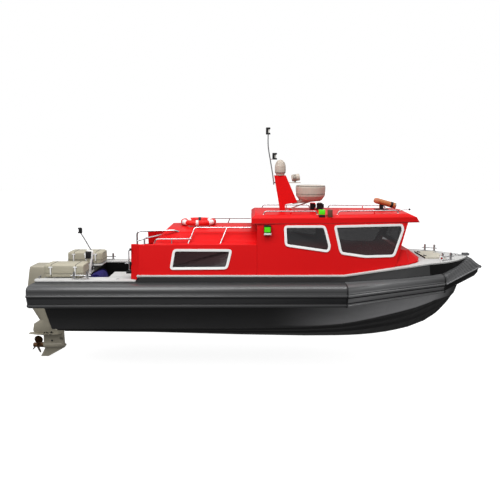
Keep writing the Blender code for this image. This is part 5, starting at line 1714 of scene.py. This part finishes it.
@dataclass
class SideGear:
    """Sidelights and the life ring."""

    bracket_blocks: Sequence[tuple[Finish, Point, Point]] = (
        (WHITE, (0.277, 1.020, 1.772), (0.414, 1.137, 1.8060)),
        (BLACK, (0.279, 1.020, 1.9300), (0.412, 1.132, 1.956)),
        (BLACK, (0.403, 1.030, 1.795), (0.4125, 1.131, 1.950)),
        (BLACK, (0.279, 1.030, 1.800), (0.413, 1.1320, 1.8240)),
        (BLACK, (0.275, 1.030, 1.762), (0.2835, 1.125, 1.950)),
    )
    ring_at: Point = (-1.10, 0.0, 1.9166)
    ring_radius: float = 0.322
    ring_thick: float = 0.056
    band_degrees: float = 36.0
    band_half: float = 11.0

    def build(self) -> None:
        """Dress the sidelights and the ring."""
        coat(RED_LENS, "sidelight_port")
        coat(GREEN, "sidelight_starboard")
        self.build_light_brackets()
        self.build_ring()

    def build_light_brackets(self) -> None:
        """White shelf and black screen of each sidelight."""
        gear = Shape(WHITE)
        for side, _ in SIDES:
            for finish, low, high in self.bracket_blocks:
                gear.use(finish).block(mirrored(low, side), mirrored(high, side), 0.002)
        gear.put("sidelight_brackets", Slot.BLACK)

    def off_axis(self, face: bmesh.types.BMFace) -> float:
        """Degrees between a face's bearing from the ring's centre and the boat's length."""
        away = face.calc_center_median() - Vector(self.ring_at)
        return abs(math.degrees(math.atan2(abs(away.y), abs(away.x))))

    def build_ring(self) -> None:
        """Life ring with four white bands and a strap on each side."""
        ring = Shape(RING_RED).torus(self.ring_at, (0, 0, 1), self.ring_radius, self.ring_thick,
                                     96, 20)
        ring.paint(WHITE, lambda f: abs(self.off_axis(f) - self.band_degrees) < self.band_half)
        centre = Vector(self.ring_at)
        low, high = self.ring_thick + 0.001, self.ring_thick + 0.0045
        profile = [(low, -0.028), (high, -0.027), (high, 0.027), (low, 0.028)]
        for turn, finish in ((90.0, STRAP), (270.0, TAPE)):
            ring.use(finish)
            out = Vector((math.cos(math.radians(turn)), math.sin(math.radians(turn)), 0.0))
            across = Vector((-out.y, out.x, 0.0))
            ring.turned(profile, centre + out * self.ring_radius, across, 20)
        ring.put("life_ring_skin", Slot.RED, stands_for=("life_ring",), smooth=50.0)


@dataclass
class HelmWork:
    """Console and seats seen through the glass."""

    hub_at: Point = (2.33, -0.45, 1.02)
    wheel_radius: float = 0.19
    wheel_stand: float = 0.10
    screens_y: Span = (-0.30, 0.10)

    def build(self) -> None:
        """Dress the seats and add the wheel and the screens."""
        dressed("helm_and_seats", SEAT, Slot.SEAT, rounding=0.012)
        gear = Shape(BLACK)
        hub = Vector(self.hub_at)
        away = Vector((-1.0, 0.0, 0.35)).normalized()
        middle = hub + away * self.wheel_stand
        gear.torus(middle, away, self.wheel_radius, 0.014, 40, 10)
        gear.rod(hub - away * 0.02, middle, 0.022)
        side = away.cross(Vector((0, 1, 0)))
        for turn in (90.0, 210.0, 330.0):
            angle = math.radians(turn)
            spoke = Vector((0, 1, 0)) * math.cos(angle) - side * math.sin(angle)
            gear.tube([middle, middle + spoke * self.wheel_radius], 0.009)
        for y in self.screens_y:
            gear.block((2.46, y - 0.14, 1.27), (2.50, y + 0.14, 1.45), 0.006)
        gear.put("helm_gear", Slot.BLACK)


@dataclass
class EngineWork:
    """Outboard engine: cowl, leg, brackets and propeller."""

    seam_z: float = 0.545
    slot_heights: Sequence[float] = (0.90, 0.925, 0.95)
    slot_y: float = 0.10
    intake_spots: Sequence[float] = (-4.52, -4.44, -4.36)
    intake_z: float = -0.545
    # Painted shade: dark disc for the hole in the gearcase.
    hole_shade_at: Point = (-4.357, 0.040, -0.713)
    plate_slots: Sequence[float] = (-0.64, -0.66, -0.68)
    bolt_at: Point = (-4.16, 0.153, 0.30)

    def build(self) -> None:
        """Dress the engine's nodes and add its trim."""
        for node, body, rounding in (("outboard_cowl", Body.ENGINE, 0.008),
                                     ("outboard_leg", Body.ENGINE, 0.003),
                                     ("clamp_bracket", Body.BOAT, 0.003),
                                     ("swivel_bracket", Body.BRACKET, 0.003)):
            dressed(node, ENGINE, Slot.ENGINE, body, 30.0, rounding)
        dressed("propeller", BRONZE, Slot.BRONZE, Body.PROPELLER, 40.0, 0.003)
        self.build_cowl_trim()
        self.build_leg_trim()
        self.build_clamp_bolts()

    def build_cowl_trim(self) -> None:
        """Seam, latch and air slots of the cowl; the slots are dark fills painted as the shade
        inside them.
        """
        trim = Shape(ENGINE_TRIM_AND_SHADE)
        trim.girdle("outboard_cowl", (0, 0, self.seam_z), (0, 0, 1), 0.008, 0.002)
        # Painted shade: dark fills for the air slots' openings.
        for z in self.slot_heights:
            for y in (-self.slot_y, self.slot_y):
                trim.block((-4.712, y - 0.07, z - 0.005), (-4.690, y + 0.07, z + 0.005), 0.002)
        trim.use(BLACK).block((-4.776, -0.035, 0.515), (-4.755, 0.035, 0.575), 0.004)
        trim.put("cowl_trim", Slot.ENGINE, Body.ENGINE)

    def build_leg_trim(self) -> None:
        """Water intakes, plate slots and a hole in the leg, as dark fills painted as the shade
        inside the openings.
        """
        trim = Shape(ENGINE_TRIM_AND_SHADE)
        for side in (-1, 1):
            # Painted shade: dark bands over the water intake slots.
            for x in self.intake_spots:
                trim.girdle("outboard_leg", (x, 0, 0), (1, 0, 0), 0.055, 0.0025,
                            lambda f, side=side: f.normal.y * side > 0.5
                            and abs(f.calc_center_median().z - self.intake_z) < 0.03)
            # Painted shade: dark disc in the gearcase hole.
            at = mirrored(self.hole_shade_at, side)
            trim.rod(at, at + Vector((0, 0.0085 * side, 0)), 0.022, sides=16)
            # Painted shade: dark fills in the leg's slots.
            for z in self.plate_slots:
                trim.block((-4.19, 0.036 * side, z - 0.003), (-4.12, 0.0445 * side, z + 0.003),
                           0.001)
        trim.put("leg_trim", Slot.ENGINE, Body.ENGINE)

    def build_clamp_bolts(self) -> None:
        """Bolt heads through the clamp bracket."""
        bolts = Shape(STEEL)
        for side in (-1, 1):
            at = mirrored(self.bolt_at, side)
            bolts.rod(at, at + Vector((0, 0.012 * side, 0)), 0.030, sides=6)
        bolts.put("clamp_bolts", Slot.STEEL)


def main() -> None:
    """Build every sub-assembly in order and report the pieces that it made."""
    logging.basicConfig(level=logging.INFO, format="%(message)s")
    for part in (Studio(), HullWork(), CollarWork(), HouseWork(), GlazingWork(), DoorWork(),
                 AftDeckWork(), MastWork(), SideGear(), HelmWork(), EngineWork()):
        known = set(bpy.data.objects.keys())
        part.build()
        for name in sorted(set(bpy.data.objects.keys()) - known):
            LOG.info("%s: %s", type(part).__name__, name)


if __name__ == "__main__":
    main()
